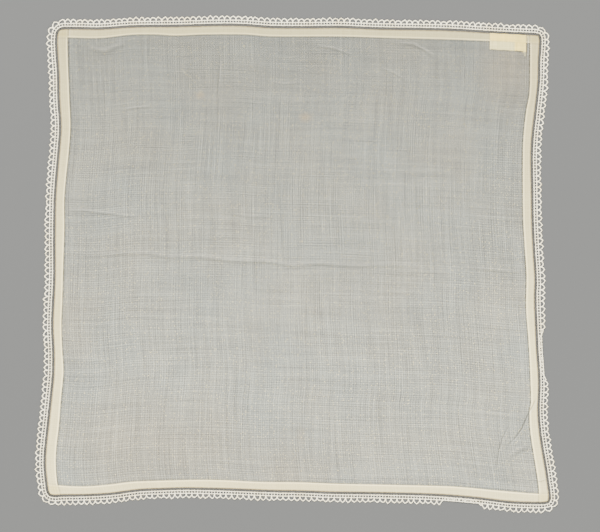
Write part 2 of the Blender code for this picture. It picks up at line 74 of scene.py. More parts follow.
# Edge line, right side downward. Columns: x, y
RIGHT_EDGE: Rows = (
    (159.6, 133.0), (159.2, 118.0), (157.3, 100.0), (155.4, 84.0), (154.7, 72.0), (155.0, 48.0),
    (155.3, 27.0), (156.2, 8.0), (157.3, -10.0), (157.0, -22.0), (157.7, -42.0), (158.4, -57.0),
    (159.3, -69.0), (159.6, -80.0), (159.1, -95.0), (159.8, -106.0), (161.0, -115.5),
    (164.1, -134.0), (165.7, -145.0),
)
LOWER_RIGHT_CORNER: Rows = (
    (166.3, -150.0), (166.1, -153.7), (164.5, -156.3), (161.5, -157.3),
)
# Edge line, bottom side right to left. Columns: x, y
BOTTOM_EDGE: Rows = (
    (154.0, -157.5), (138.0, -156.9), (119.0, -154.6), (99.0, -152.8), (83.0, -151.9),
    (50.0, -151.1), (20.0, -150.7), (2.0, -150.0), (-14.0, -149.8), (-47.0, -148.6),
    (-73.0, -148.1), (-88.0, -148.5), (-102.0, -149.1), (-121.0, -151.5), (-137.0, -152.4),
    (-152.0, -152.6),
)
LOWER_LEFT_CORNER: Rows = (
    (-158.0, -152.9), (-161.8, -151.8), (-163.9, -149.0), (-164.9, -143.7),
)
# Edge line, left side upward. Columns: x, y
LEFT_EDGE: Rows = (
    (-166.1, -131.0), (-165.8, -121.0), (-164.1, -105.0), (-162.3, -88.0), (-160.7, -72.0),
    (-160.5, -56.0), (-161.2, -40.0), (-159.9, -10.0), (-159.9, 20.0), (-159.5, 42.0),
    (-158.5, 57.0), (-157.0, 74.0), (-156.0, 89.0), (-157.1, 107.0), (-157.4, 123.0),
    (-158.4, 138.0),
)
UPPER_LEFT_CORNER: Rows = (
    (-158.6, 146.5), (-157.6, 151.8), (-154.3, 154.8),
)
EDGE_ROWS: Rows = (
    TOP_EDGE + UPPER_RIGHT_CORNER + RIGHT_EDGE + LOWER_RIGHT_CORNER
    + BOTTOM_EDGE + LOWER_LEFT_CORNER + LEFT_EDGE + UPPER_LEFT_CORNER
)

# Inner edge of each hem, carried on across the corner squares. Columns: along, across
TOP_HEM: Rows = (
    (-166.0, 147.2), (-150.0, 147.2), (-128.0, 146.9), (-108.0, 149.0), (-92.0, 149.2),
    (-79.0, 148.5), (-60.0, 149.2), (-34.0, 149.2), (-17.0, 148.0), (28.0, 147.9),
    (60.0, 147.0), (100.0, 145.9), (125.0, 144.9), (148.0, 143.7), (170.0, 143.3),
)
RIGHT_HEM: Rows = (
    (165.0, 151.7), (122.0, 151.7), (110.0, 151.2), (100.0, 149.3), (85.0, 147.6),
    (72.0, 147.0), (30.0, 147.2), (10.0, 148.3), (-8.0, 149.4), (-28.0, 149.1), (-49.0, 150.6),
    (-69.0, 151.7), (-90.6, 152.3), (-94.6, 151.4), (-104.0, 151.5), (-113.0, 152.4),
    (-137.0, 156.2), (-147.0, 157.4), (-166.0, 157.8),
)
BOTTOM_HEM: Rows = (
    (175.0, -149.8), (156.0, -149.6), (132.0, -147.7), (112.0, -145.8), (98.0, -144.8),
    (67.0, -144.0), (25.0, -143.1), (0.0, -142.2), (-24.0, -142.0), (-47.0, -140.9),
    (-64.0, -140.6), (-92.0, -141.3), (-108.0, -142.0), (-122.0, -143.7), (-138.0, -144.9),
    (-154.0, -144.3), (-175.0, -142.0),
)
LEFT_HEM: Rows = (
    (-166.0, -150.0), (-150.0, -154.2), (-142.0, -156.1), (-131.0, -157.0), (-120.0, -156.7),
    (-105.0, -155.0), (-88.0, -153.7), (-70.0, -152.1), (-55.0, -152.9), (-40.0, -153.4),
    (-23.0, -152.8), (2.0, -152.1), (22.0, -151.5), (42.0, -151.5), (58.0, -150.2),
    (74.0, -148.5), (90.0, -147.5), (107.0, -148.2), (142.0, -149.4), (166.0, -149.0),
)

# Creases of the ground and the tuck across the right hem. Each lifts the cloth, and where its
# shade is above 0 it is painted with a dark line of painted shade and a light line of painted
# highlight. Columns: height, width left of the walk, width right of it, strength of that
# painted shade from 0 to 1, width of that line, points. The last three rows lift nothing: a
# painted shadow by the right hem under the tape, a dark line across the lower right hem, and
# a dark line where the left hem's edge runs on across the upper left corner
CREASES: tuple[tuple[float, float, float, float, float, Rows], ...] = (
    (0.45, 2.2, 2.6, 0.40, 1.7,
     ((-145.0, 4.6), (-134.0, 5.2), (-112.0, 6.5), (-97.0, 6.5), (-82.5, 4.3), (-63.0, 4.5),
      (-43.5, 2.0), (-21.0, 1.6), (-2.5, -1.3), (15.0, 0.0), (34.5, -1.3), (62.0, -0.6),
      (80.0, -1.4))),
    (0.35, 1.6, 1.6, 0.0, 1.0,
     ((-6.0, 3.4), (15.0, 4.4), (31.0, 5.4), (51.0, 4.8), (64.0, 3.6))),
    (0.35, 1.8, 2.4, 0.42, 1.2,
     ((108.0, -2.2), (125.5, -3.9), (138.5, -5.2), (147.6, -5.2))),
    (0.35, 1.6, 2.4, 0.48, 1.1,
     ((-149.4, 34.6), (-137.5, 34.5), (-121.5, 32.5), (-105.0, 30.6))),
    (0.25, 1.4, 2.0, 0.30, 1.1,
     ((-43.0, 32.0), (-30.5, 30.6), (-16.0, 30.6))),
    (0.30, 1.4, 2.2, 0.36, 1.0,
     ((-116.0, 99.3), (-105.0, 101.4), (-95.0, 102.2))),
    (0.35, 2.6, 2.6, 0.34, 2.0,
     ((-136.5, 140.2), (-125.5, 137.8), (-111.5, 143.2))),
    (0.30, 1.4, 1.4, 0.45, 0.7,
     ((-50.0, 133.0), (-50.7, 120.0), (-51.7, 107.5))),
    (0.20, 1.2, 1.8, 0.30, 0.9,
     ((-19.5, 118.4), (-8.0, 117.0), (3.0, 117.8))),
    (0.35, 1.4, 2.4, 0.42, 1.0,
     ((12.5, 141.8), (24.5, 139.8), (36.5, 135.6))),
    (0.35, 1.6, 2.6, 0.42, 1.2,
     ((66.0, 143.2), (75.5, 142.6), (82.5, 139.1), (89.0, 134.8))),
    (0.25, 1.4, 1.8, 0.28, 1.0,
     ((53.5, 127.6), (62.5, 124.2), (71.0, 119.2))),
    (0.90, 1.1, 3.0, 0.90, 0.75,
     ((155.5, -87.6), (153.2, -92.4), (150.6, -97.0), (146.3, -107.0), (142.0, -113.0),
      (136.8, -118.2))),
    (0.45, 1.0, 2.2, 0.70, 0.65,
     ((138.0, -104.6), (133.9, -112.5), (131.3, -121.0), (129.8, -133.5))),
    (0.40, 2.4, 1.6, 0.45, 2.0,
     ((138.4, -124.6), (144.5, -121.0), (151.4, -118.4))),
    (0.00, 1.0, 1.0, 0.60, 0.55,
     ((150.2, 147.5), (149.9, 140.0), (149.2, 132.5))),
    (0.00, 1.0, 1.0, 0.55, 0.55,
     ((152.0, -139.6), (157.9, -141.2), (163.0, -139.4))),
    (0.00, 1.0, 1.0, 0.45, 0.55,
     ((-148.0, 153.4), (-148.2, 150.0), (-148.4, 146.6))),
)
# How near a crease a point must be to belong to its line: wholly, and at all
CREASE_REACH = (2.3, 3.2)
# What a point far from every crease gets: distance, shade, line width
NO_CREASE = (1e3, 0.0, 1.0)


class Side(Enum):
    """One side of the cloth as it lies."""

    TOP = "top"
    RIGHT = "right"
    BOTTOM = "bottom"
    LEFT = "left"


class Work(Enum):
    """How a thread is worked along its path."""

    CHAIN = "two legs a stitch round a core"
    THREAD = "a bare thread"
    WHIP = "one slanted leg a stitch"


HEMS: dict[Side, Rows] = {
    Side.TOP: TOP_HEM,
    Side.RIGHT: RIGHT_HEM,
    Side.BOTTOM: BOTTOM_HEM,
    Side.LEFT: LEFT_HEM,
}

# The turned edge of each hem. Columns: how far inside the table's line it shows, how dark
# the needle holes and the shadow beside it are, from 0 to 1
HEM_LINES: dict[Side, tuple[float, float]] = {
    Side.TOP: (0.05, 0.55),
    Side.RIGHT: (0.20, 1.0),
    Side.BOTTOM: (0.40, 0.60),
    Side.LEFT: (0.28, 1.0),
}

# Where the arches lie folded under the mesh row: begins, folded from, folded to, ends. These
# are y on the right side and x on the bottom one.
FOLDED_STRETCHES: dict[Side, tuple[float, float, float, float]] = {
    Side.RIGHT: (-40.0, -50.0, -68.0, -79.0),
    Side.BOTTOM: (122.5, 115.0, 97.0, 92.5),
}
# How far from the middle a point must be to lie on one side's edging
SIDE_BEGINS = 120.0


def smooth_step(value: np.ndarray) -> np.ndarray:
    """Return a soft step from 0 to 1 as the value goes from 0 to 1."""
    held = np.clip(value, 0.0, 1.0)
    return held * held * (3.0 - 2.0 * held)


def smooth_span(span: np.ndarray, share: float) -> np.ndarray:
    """Return a point between the middle two of four points, on a centripetal curve.

    Args:
        span: four points, one a row.
        share: how far the point lies from the second to the third.

    Returns:
        The point.
    """
    gaps = np.sqrt(np.linalg.norm(np.diff(span, axis=0), axis=1))
    times = np.concatenate(([0.0], np.cumsum(gaps)))
    time = times[1] + (times[2] - times[1]) * share
    layer = list(span)
    for reaches in (((0, 1), (1, 2), (2, 3)), ((0, 2), (1, 3)), ((1, 2),)):
        blended = []
        for index, (low, high) in enumerate(reaches):
            weight = (time - times[low]) / (times[high] - times[low])
            blended.append(layer[index] * (1.0 - weight) + layer[index + 1] * weight)
        layer = blended
    return layer[0]


class Walk:
    """A line of points measured along its length, open or closed."""

    def __init__(self, points: np.ndarray, closed: bool = False) -> None:
        """Measure the line.

        Args:
            points: the line's points in order, one a row.
            closed: whether the last point joins the first.
        """
        self.points = np.vstack((points, points[:1])) if closed else points
        steps = np.linalg.norm(np.diff(self.points, axis=0), axis=1)
        self.reached = np.concatenate(([0.0], np.cumsum(steps)))
        self.length = float(self.reached[-1])
        self.closed = closed

    def point(self, stations: np.ndarray) -> np.ndarray:
        """Return the points of the line at some stations.

        Args:
            stations: lengths walked from the line's first point.

        Returns:
            One point a station.
        """
        if self.closed:
            stations = np.mod(stations, self.length)
        columns = [np.interp(stations, self.reached, column) for column in self.points.T]
        return np.stack(columns, axis=-1)

    def outward(self, stations: np.ndarray) -> np.ndarray:
        """Return the unit vectors to the left of the walk at some stations.

        Args:
            stations: lengths walked from the line's first point.

        Returns:
            One vector a station.
        """
        along = self.point(stations + NORMAL_REACH) - self.point(stations - NORMAL_REACH)
        along /= np.linalg.norm(along, axis=-1, keepdims=True)
        return np.stack((-along[..., 1], along[..., 0]), axis=-1)

    def offset(self, stations: np.ndarray, distance: np.ndarray | float) -> np.ndarray:
        """Return points that lie a distance to the left of the walk at some stations."""
        reach = np.broadcast_to(np.asarray(distance, float), np.shape(stations))
        return self.point(stations) + self.outward(stations) * reach[..., None]

    def nearest(self, point: np.ndarray) -> float:
        """Return the station of the line's own point that lies nearest to a point."""
        return float(self.reached[np.argmin(np.linalg.norm(self.points - point, axis=1))])

    def between(self, start: np.ndarray, end: np.ndarray, shares: np.ndarray) -> np.ndarray:
        """Return points of the line at shares of the way from one point to another.

        Args:
            start: the point near which the stretch begins.
            end: the point near which it ends.
            shares: how far along the stretch each point lies, from 0 to 1.

        Returns:
            One point a share.
        """
        first = self.nearest(start)
        last = self.nearest(end)
        return self.point(first + (last - first) * shares)


def edge_walk() -> Walk:
    """Return the closed line along the middle of the crochet's square mesh row.

    Returns:
        The line through the edge's table, rounded between its rows.
    """
    steps_per_span = 10
    knots = np.array(EDGE_ROWS)
    points = []
    for index in range(len(knots)):
        span = knots[[(index + shift) % len(knots) for shift in (-1, 0, 1, 2)]]
        points.extend(smooth_span(span, step / steps_per_span) for step in range(steps_per_span))
    return Walk(np.array(points), closed=True)


def hem_across(side: Side, along: np.ndarray) -> np.ndarray:
    """Return how far across a hem's inner edge lies at places along its side.

    Args:
        side: the side of the cloth.
        along: x for the top and bottom sides, y for the others.

    Returns:
        y for the top and bottom sides, x for the others.
    """
    rows = np.array(sorted(HEMS[side]))
    held = np.clip(along, rows[0, 0], rows[-1, 0])
    index = np.clip(np.searchsorted(rows[:, 0], held, side="right") - 1, 0, len(rows) - 2)
    before = rows[np.maximum(index - 1, 0)]
    low = rows[index]
    high = rows[index + 1]
    after = rows[np.minimum(index + 2, len(rows) - 1)]
    span = high[..., 0] - low[..., 0]
    share = (held - low[..., 0]) / span
    slope_low = (high[..., 1] - before[..., 1]) / (high[..., 0] - before[..., 0]) * span
    slope_high = (after[..., 1] - low[..., 1]) / (after[..., 0] - low[..., 0]) * span
    rise = high[..., 1] - low[..., 1]
    bend = slope_low + slope_high - 2.0 * rise
    curve = slope_low + share * (rise - slope_low - bend + share * bend)
    return low[..., 1] + share * curve


def hem_depths(points: np.ndarray) -> np.ndarray:
    """Return how far points lie past the inner edges of the four hems.

    Args:
        points: places on the cloth, x and y last.

    Returns:
        Four depths a point, in the order of Side, negative on the ground.
    """
    x = points[..., 0]
    y = points[..., 1]
    return np.stack((
        y - hem_across(Side.TOP, x),
        x - hem_across(Side.RIGHT, y),
        hem_across(Side.BOTTOM, x) - y,
        hem_across(Side.LEFT, y) - x,
    ), axis=-1)


def crease_relief(points: np.ndarray) -> tuple[np.ndarray, np.ndarray]:
    """Return how far the creases lift the cloth, and the line of the nearest crease.

    Args:
        points: places on the cloth, one a row.

    Returns:
        The rise in millimetres, one value a point; then for each point the distance to the
        nearest crease (positive to the left of its walk), the strength of its painted shade
        from 0 to 1, and the width of that line.
    """
    rise = np.zeros(len(points))
    line = np.tile(NO_CREASE, (len(points), 1))
    near, far = CREASE_REACH
    for height, left_width, right_width, darkness, line_width, rows in CREASES:
        path = np.array(rows)
        lengths = np.linalg.norm(np.diff(path, axis=0), axis=1)
        walked = np.concatenate(([0.0], np.cumsum(lengths)))
        nearest = np.full(len(points), np.inf)
        side = np.zeros(len(points))
        place = np.zeros(len(points))
        for index, length in enumerate(lengths):
            along = path[index + 1] - path[index]
            away = points - path[index]
            share = np.clip(away @ along / length ** 2, 0.0, 1.0)
            away = away - share[:, None] * along
            distance = np.linalg.norm(away, axis=1)
            closer = distance < nearest
            nearest = np.where(closer, distance, nearest)
            side = np.where(closer, along[0] * away[:, 1] - along[1] * away[:, 0], side)
            place = np.where(closer, (walked[index] + share * length) / walked[-1], place)
        width = np.where(side > 0.0, left_width, right_width)
        fade = np.sqrt(np.sin(np.pi * np.clip(place, 0.0, 1.0)))
        rise += height * fade * smooth_step(1.0 - nearest / width)
        # Strength of the crease's painted shade and painted highlight, fading at its ends and away
        # from it
        shade = darkness * fade * smooth_step((far - nearest) / (far - near))
        signed = np.where(side > 0.0, nearest, -nearest)
        own = np.stack((signed, shade, np.full(len(points), line_width)), -1)
        line = np.where((nearest < np.abs(line[:, 0]))[:, None] & (darkness > 0.0), own, line)
    return rise, line


def folded_share(points: np.ndarray) -> np.ndarray:
    """Return how far the arches are folded under.

    Args:
        points: places on the edge line, one a row.

    Returns:
        One share a point, from 0 for not at all to 1 for wholly.
    """
    share = np.zeros(len(points))
    for side, (begins, full_from, full_to, ends) in FOLDED_STRETCHES.items():
        is_right = side is Side.RIGHT
        along = points[:, 1] if is_right else points[:, 0]
        on_side = points[:, 0] > SIDE_BEGINS if is_right else points[:, 1] < -SIDE_BEGINS
        rising = (begins - along) / (begins - full_from)
        falling = (along - ends) / (full_to - ends)
        held = np.clip(np.minimum(rising, falling), 0.0, 1.0)
        share = np.maximum(share, np.where(on_side, held, 0.0))
    return smooth_step(share)


def linear_colour(code: str) -> tuple[float, float, float, float]:
    """Return an sRGB hex colour as linear red, green, blue and alpha.

    Args:
        code: the colour as # and six hex digits.

    Returns:
        Its four linear values, alpha 1.
    """
    shares = [int(code[place:place + 2], 16) / 255.0 for place in (1, 3, 5)]
    red, green, blue = (
        share / 12.92 if share <= 0.04045 else ((share + 0.055) / 1.055) ** 2.4
        for share in shares
    )
    return red, green, blue, 1.0


def add_node(tree: bpy.types.NodeTree, kind: str, settings: dict[str, object] | None = None,
             inputs: Inputs | None = None) -> bpy.types.Node:
    """Add a node to a tree with its settings, and its inputs as values or as links.

    Args:
        tree: the shader or geometry tree.
        kind: Blender's own name of the node's kind.
        settings: the node's properties by name.
        inputs: values, or output sockets to link from, by the input's name or number.

    Returns:
        The new node.
    """
    node = tree.nodes.new(kind)
    for name, value in (settings or {}).items():
        setattr(node, name, value)
    for name, value in (inputs or {}).items():
        if isinstance(value, bpy.types.NodeSocket):
            tree.links.new(value, node.inputs[name])
        else:
            node.inputs[name].default_value = value
    return node


def new_material(name: str) -> tuple[bpy.types.Material, bpy.types.NodeTree, bpy.types.Node]:
    """Return a new material with its tree and its Principled shader.

    Args:
        name: the name of the real material and its process.

    Returns:
        The material, its tree and the shader's node.
    """
    material = bpy.data.materials.new(name)
    material.use_nodes = True
    tree = material.node_tree
    return material, tree, tree.nodes["Principled BSDF"]


@dataclass(frozen=True)
class SheerLawn:
    """Bleached cotton lawn, plain woven from very fine uneven threads and left thin with age.

    To the eye it is a greyish sheer white, crossed by finer and coarser threads both ways,
    and it turns cream and nearly opaque where the hem lays three thicknesses together.
    """

    thin: str = "#808481"
    thick: str = "#DBE2DC"
    cool: str = "#A9B1B2"
    warm: str = "#BFB6A3"
    hem: str = "#DDD4A9"
    turned_edge: str = "#FFF3C2"
    corner: str = "#DCD09A"
    # Colour of the dark lines: the hem's needle holes with the painted shadow beside them, and the
    # creases' painted shade
    line: str = "#33322D"
    stain: str = "#C6A46A"
    # Painted highlight on the crest of each crease
    crease_painted_highlight: str = "#F0F0EA"
    ground_alpha: float = 0.22
    hem_alpha: float = 0.72
    # What is added to that cover by a thick thread, a turned edge, a slub and a dark line, the
    # last being needle holes with painted shadow by the hem and painted shade on the creases
    thread_cover: float = 0.20
    edge_cover: float = 0.30
    slub_cover: float = 0.22
    line_cover: float = 0.45
    roughness: float = 0.92
    specular: float = 0.2
    relief: float = 0.35
    relief_depth: float = 0.15
    # Cool and warm clouds: how many to the metre, noise levels that are wholly cool and wholly
    # warm, share of them in the ground's colour
    cloud_scale: float = 22.0
    cloud_levels: tuple[float, float] = (0.35, 0.65)
    cloud_share: float = 0.30
    # Painted shade: the cloth's colour darkens toward its top side, where less light falls.
    # Columns: y where that begins, y where it ends (m), what is left of its brightness there in
    # the ground, and in the hem
    painted_top_shade: tuple[float, float, float, float] = (-0.070, 0.160, 0.53, 0.60)
    # A crease's painted shade and painted highlight. Columns: place of its dark line of painted
    # shade and of its light line of painted highlight and their spread, in line widths, and
    # strength of the painted highlight
    painted_crease_lines: tuple[float, float, float, float] = (-0.5, 0.8, 0.6, 0.5)

    # Lawn has about three threads to the millimetre, too fine for the render, so its uneven
    # threads are drawn 1.3 to 14 times as coarse. Columns: across, along (mm), weight of the
    # upright threads, weight of the level ones
    streaks: Rows = (
        (0.56, 34.0, 0.90, 0.68),
        (1.25, 60.0, 0.28, 0.23),
        (5.0, 90.0, 0.19, 0.22),
        (0.45, 0.9, 0.34, 0.34),
    )
    # How much the hem's threads tone it, and its outer rim: mm from it, colour, share
    hem_weave: float = 0.30
    rim_tones: tuple[tuple[float, str, float], ...] = (
        (0.0, "#8F7D64", 0.95), (0.8, "#8F7D64", 0.30), (1.1, "#FFF6D2", 0.0),
        (1.5, "#FFF6D2", 0.30), (2.0, "#FFF6D2", 0.0),
    )
    # How far each thread's thick places are moved from the last one's, in their own lengths
    stagger: float = 0.618
    # The even lines of the threads: mm apart, how they drift (mm across, mm along, turns)
    # and their weight. Real threads are 0.35 mm apart, too fine for the picture, so they
    # are shown four times as coarse, as far apart as the photograph shows lines.
    beat: tuple[float, float, float, float, float] = (1.45, 9.0, 70.0, 1.2, 0.12)
    # Slubs, short thick places in a thread. Columns: across, along (mm)
    slub: tuple[float, float] = (0.5, 1.3)
    slub_level: tuple[float, float] = (0.80, 0.88)
    slub_shift: tuple[float, float, float] = (7.3, 2.9, 0.0)
    # How the dark lines break: breaks to the millimetre, noise levels of broken and of whole,
    # and what is left of a line where it is broken
    break_scale: float = 0.55
    break_levels: tuple[float, float] = (0.34, 0.60)
    broken_share: float = 0.55
    # Columns: x, y, radius across, radius up (mm), strength
    stains: Rows = (
        (5.4, 95.5, 5.5, 4.2, 0.42),
        (-63.0, 109.8, 4.2, 3.4, 0.34),
        (2.5, -112.0, 4.0, 9.0, 0.16),
        (-6.0, -136.0, 60.0, 34.0, 0.16),
        (138.0, 128.0, 26.0, 34.0, 0.20),
        (-148.0, -32.0, 26.0, 40.0, 0.14),
        (-88.0, -116.0, 70.0, 40.0, 0.22),
    )

    def thread_density(self, tree: bpy.types.NodeTree, place: bpy.types.NodeSocket,
                       ) -> bpy.types.NodeSocket:
        """Return how much thicker or thinner than usual the threads are at a place.

        Args:
            tree: the material's tree.
            place: the place on the flat cloth, in millimetres.

        Returns:
            A value that swings to either side of 0.
        """
        parts = add_node(tree, "ShaderNodeSeparateXYZ", {}, {0: place})
        x, y = parts.outputs["X"], parts.outputs["Y"]
        density: bpy.types.NodeSocket | None = None
        for across, along, upright, level in self.streaks:
            for over, up, weight in ((x, y, upright), (y, x, level)):
                thread = add_node(tree, "ShaderNodeMath", {"operation": "MULTIPLY"},
                                  {0: over, 1: 1.0 / across})
                moved = add_node(tree, "ShaderNodeMath", {"operation": "MULTIPLY"},
                                 {0: thread.outputs[0], 1: self.stagger})
                length = add_node(tree, "ShaderNodeMath", {"operation": "MULTIPLY_ADD"},
                                  {0: up, 1: 1.0 / along, 2: moved.outputs[0]})
                spot = add_node(tree, "ShaderNodeCombineXYZ", {},
                                {0: thread.outputs[0], 1: length.outputs[0]})
                noise = add_node(tree, "ShaderNodeTexNoise", {"noise_dimensions": "2D"},
                                 {"Vector": spot.outputs[0], "Scale": 1.0,
                                  "Detail": 1.0, "Roughness": 0.5})
                swing = add_node(tree, "ShaderNodeMath", {"operation": "MULTIPLY_ADD"},
                                 {0: noise.outputs["Fac"], 1: weight, 2: -0.5 * weight})
                if density is None:
                    density = swing.outputs[0]
                else:
                    joined = add_node(tree, "ShaderNodeMath", {"operation": "ADD"},
                                      {0: density, 1: swing.outputs[0]})
                    density = joined.outputs[0]
        for line in (self.thread_lines(tree, x, y), self.thread_lines(tree, y, x)):
            joined = add_node(tree, "ShaderNodeMath", {"operation": "ADD"},
                              {0: density, 1: line})
            density = joined.outputs[0]
        return density

    def thread_lines(self, tree: bpy.types.NodeTree, over: bpy.types.NodeSocket,
                     up: bpy.types.NodeSocket) -> bpy.types.NodeSocket:
        """Return the even lines of the threads of one direction, drifting a little.

        Args:
            tree: the material's tree.
            over: the place across the threads, mm.
            up: the place along them, mm.

        Returns:
            A swing about 0 as strong as the beat's weight.
        """
        spacing, across, along, turns, weight = self.beat
        first = add_node(tree, "ShaderNodeMath", {"operation": "MULTIPLY"},
                         {0: over, 1: 1.0 / across})
        second = add_node(tree, "ShaderNodeMath", {"operation": "MULTIPLY"},
                          {0: up, 1: 1.0 / along})
        spot = add_node(tree, "ShaderNodeCombineXYZ", {},
                        {0: first.outputs[0], 1: second.outputs[0]})
        noise = add_node(tree, "ShaderNodeTexNoise", {"noise_dimensions": "2D"},
                         {"Vector": spot.outputs[0], "Scale": 1.0, "Detail": 1.0})
        drift = add_node(tree, "ShaderNodeMath", {"operation": "MULTIPLY"},
                         {0: noise.outputs["Fac"], 1: turns * math.tau})
        angle = add_node(tree, "ShaderNodeMath", {"operation": "MULTIPLY_ADD"},
                         {0: over, 1: math.tau / spacing, 2: drift.outputs[0]})
        wave = add_node(tree, "ShaderNodeMath", {"operation": "SINE"}, {0: angle.outputs[0]})
        swing = add_node(tree, "ShaderNodeMath", {"operation": "MULTIPLY"},
                         {0: wave.outputs[0], 1: weight})
        return swing.outputs[0]

    def slubs(self, tree: bpy.types.NodeTree, place: bpy.types.NodeSocket,
              ) -> bpy.types.NodeSocket:
        """Return where a thread has a short thick place.

        Args:
            tree: the material's tree.
            place: the place on the flat cloth, in millimetres.

        Returns:
            A value from 0 to 1.
        """
        found = []
        for sizes in (self.slub, self.slub[::-1]):
            scale = (1.0 / sizes[0], 1.0 / sizes[1], 1.0)
            mapping = add_node(tree, "ShaderNodeMapping", {},
                               {"Vector": place, "Scale": scale, "Location": self.slub_shift})
            noise = add_node(tree, "ShaderNodeTexNoise", {"noise_dimensions": "2D"},
                             {"Vector": mapping.outputs["Vector"], "Scale": 1.0, "Detail": 0.0})
            peak = add_node(tree, "ShaderNodeMapRange", {},
                            {"Value": noise.outputs["Fac"], "From Min": self.slub_level[0],
                             "From Max": self.slub_level[1]})
            found.append(peak.outputs["Result"])
        both = add_node(tree, "ShaderNodeMath", {"operation": "MAXIMUM"},
                        {0: found[0], 1: found[1]})
        return both.outputs[0]

    def with_painted_top_shade(self, tree: bpy.types.NodeTree, where: bpy.types.Node,
               hem_level: bpy.types.NodeSocket, colour: bpy.types.NodeSocket,
               ) -> bpy.types.NodeSocket:
        """Return the cloth's colour with painted shade, darker toward the top side where less
        light falls.

        Args:
            tree: the material's tree.
            where: the texture coordinate node.
            hem_level: 0 on the ground and 1 on the hem.
            colour: the colour before.

        Returns:
            The colour after.
        """
        begins, ends, ground_left, hem_left = self.painted_top_shade
        place = add_node(tree, "ShaderNodeSeparateXYZ", {}, {0: where.outputs["Object"]})
        left = []
        for remains in (ground_left, hem_left):
            level = add_node(tree, "ShaderNodeMapRange", {},
                             {"Value": place.outputs["Y"], "From Min": begins,
                              "From Max": ends, "To Min": 1.0, "To Max": remains})
            left.append(level.outputs["Result"])
        share = add_node(tree, "ShaderNodeMix", {"data_type": "FLOAT"},
                         {0: hem_level, 2: left[0], 3: left[1]})
        scaled = add_node(tree, "ShaderNodeVectorMath", {"operation": "SCALE"},
                          {0: colour, "Scale": share.outputs[0]})
        return scaled.outputs["Vector"]

    def rim_toned(self, tree: bpy.types.NodeTree, place: bpy.types.NodeSocket,
                  broken: bpy.types.NodeSocket, colour: bpy.types.NodeSocket,
                  ) -> bpy.types.NodeSocket:
        """Return the cloth's colour with a darker brown outer rim and the line of the inner
        fabric.

        Args:
            tree: the material's tree.
            place: the place on the flat cloth, its third value the distance from the rim.
            broken: how whole a line is, from 0 to 1, as the threads break it.
            colour: the colour before.

        Returns:
            The colour after.
        """
        reach = self.rim_tones[-1][0]
        parts = add_node(tree, "ShaderNodeSeparateXYZ", {}, {0: place})
        share = add_node(tree, "ShaderNodeMath", {"operation": "MULTIPLY"},
                         {0: parts.outputs["Z"], 1: 1.0 / reach})
        ramp = add_node(tree, "ShaderNodeValToRGB", {}, {"Fac": share.outputs[0]})
        stops = ramp.color_ramp.elements
        stops[0].position = 0.0
        stops[1].position = 1.0
        for distance, _, _ in self.rim_tones[1:-1]:
            stops.new(distance / reach)
        for stop, (_, tone, strength) in zip(stops, self.rim_tones):
            stop.color = (*linear_colour(tone)[:3], strength)
        amount = add_node(tree, "ShaderNodeMath", {"operation": "MULTIPLY"},
                          {0: ramp.outputs["Alpha"], 1: broken})
        toned = add_node(tree, "ShaderNodeMix", {"data_type": "RGBA"},
                         {0: amount.outputs[0], 6: colour, 7: ramp.outputs["Color"]})
        return toned.outputs[2]

    def painted_crease_shading(self, tree: bpy.types.NodeTree,
                     ) -> tuple[bpy.types.NodeSocket, bpy.types.NodeSocket]:
        """Return the painted shade and the painted highlight of the creases, from 0 to 1.

        Args:
            tree: the material's tree.

        Returns:
            The painted shade beside each crest, then the painted highlight on it, from the
            attribute crease (distance, shade, line width).
        """
        dark_place, light_place, spread, light_share = self.painted_crease_lines
        given = add_node(tree, "ShaderNodeAttribute", {"attribute_name": "crease"})
        parts = add_node(tree, "ShaderNodeSeparateXYZ", {}, {0: given.outputs["Vector"]})
        across = add_node(tree, "ShaderNodeMath", {"operation": "DIVIDE"},
                          {0: parts.outputs["X"], 1: parts.outputs["Z"]})
        tones = []
        for middle, strength in ((dark_place, 1.0), (light_place, light_share)):
            away = add_node(tree, "ShaderNodeMath", {"operation": "MULTIPLY_ADD"},
                            {0: across.outputs[0], 1: 1.0 / spread, 2: -middle / spread})
            square = add_node(tree, "ShaderNodeMath", {"operation": "MULTIPLY"},
                              {0: away.outputs[0], 1: away.outputs[0]})
            negative = add_node(tree, "ShaderNodeMath", {"operation": "MULTIPLY"},
                                {0: square.outputs[0], 1: -1.0})
            bell = add_node(tree, "ShaderNodeMath", {"operation": "EXPONENT"},
                            {0: negative.outputs[0]})
            shaded = add_node(tree, "ShaderNodeMath", {"operation": "MULTIPLY"},
                              {0: bell.outputs[0], 1: parts.outputs["Y"]})
            toned = add_node(tree, "ShaderNodeMath",
                             {"operation": "MULTIPLY", "use_clamp": True},
                             {0: shaded.outputs[0], 1: strength})
            tones.append(toned.outputs[0])
        return tones[0], tones[1]

    def material(self) -> bpy.types.Material:
        """Return the material of the cloth with its hem.

        Returns:
            A material that reads the attributes thread_place (mm on the flat cloth, and the
            distance from its rim), zones (layers of hem, turned edge, dark line) and crease.
        """
        material, tree, shader = new_material("plain_woven_bleached_cotton_lawn")
        place_node = add_node(tree, "ShaderNodeAttribute", {"attribute_name": "thread_place"})
        place = place_node.outputs["Vector"]
        zone_node = add_node(tree, "ShaderNodeAttribute", {"attribute_name": "zones"})
        zones = add_node(tree, "ShaderNodeSeparateXYZ", {}, {0: zone_node.outputs["Vector"]})
        layers, edge, dark = (zones.outputs[index] for index in range(3))
        where = add_node(tree, "ShaderNodeTexCoord")
        density = self.thread_density(tree, place)
        slub = self.slubs(tree, place)

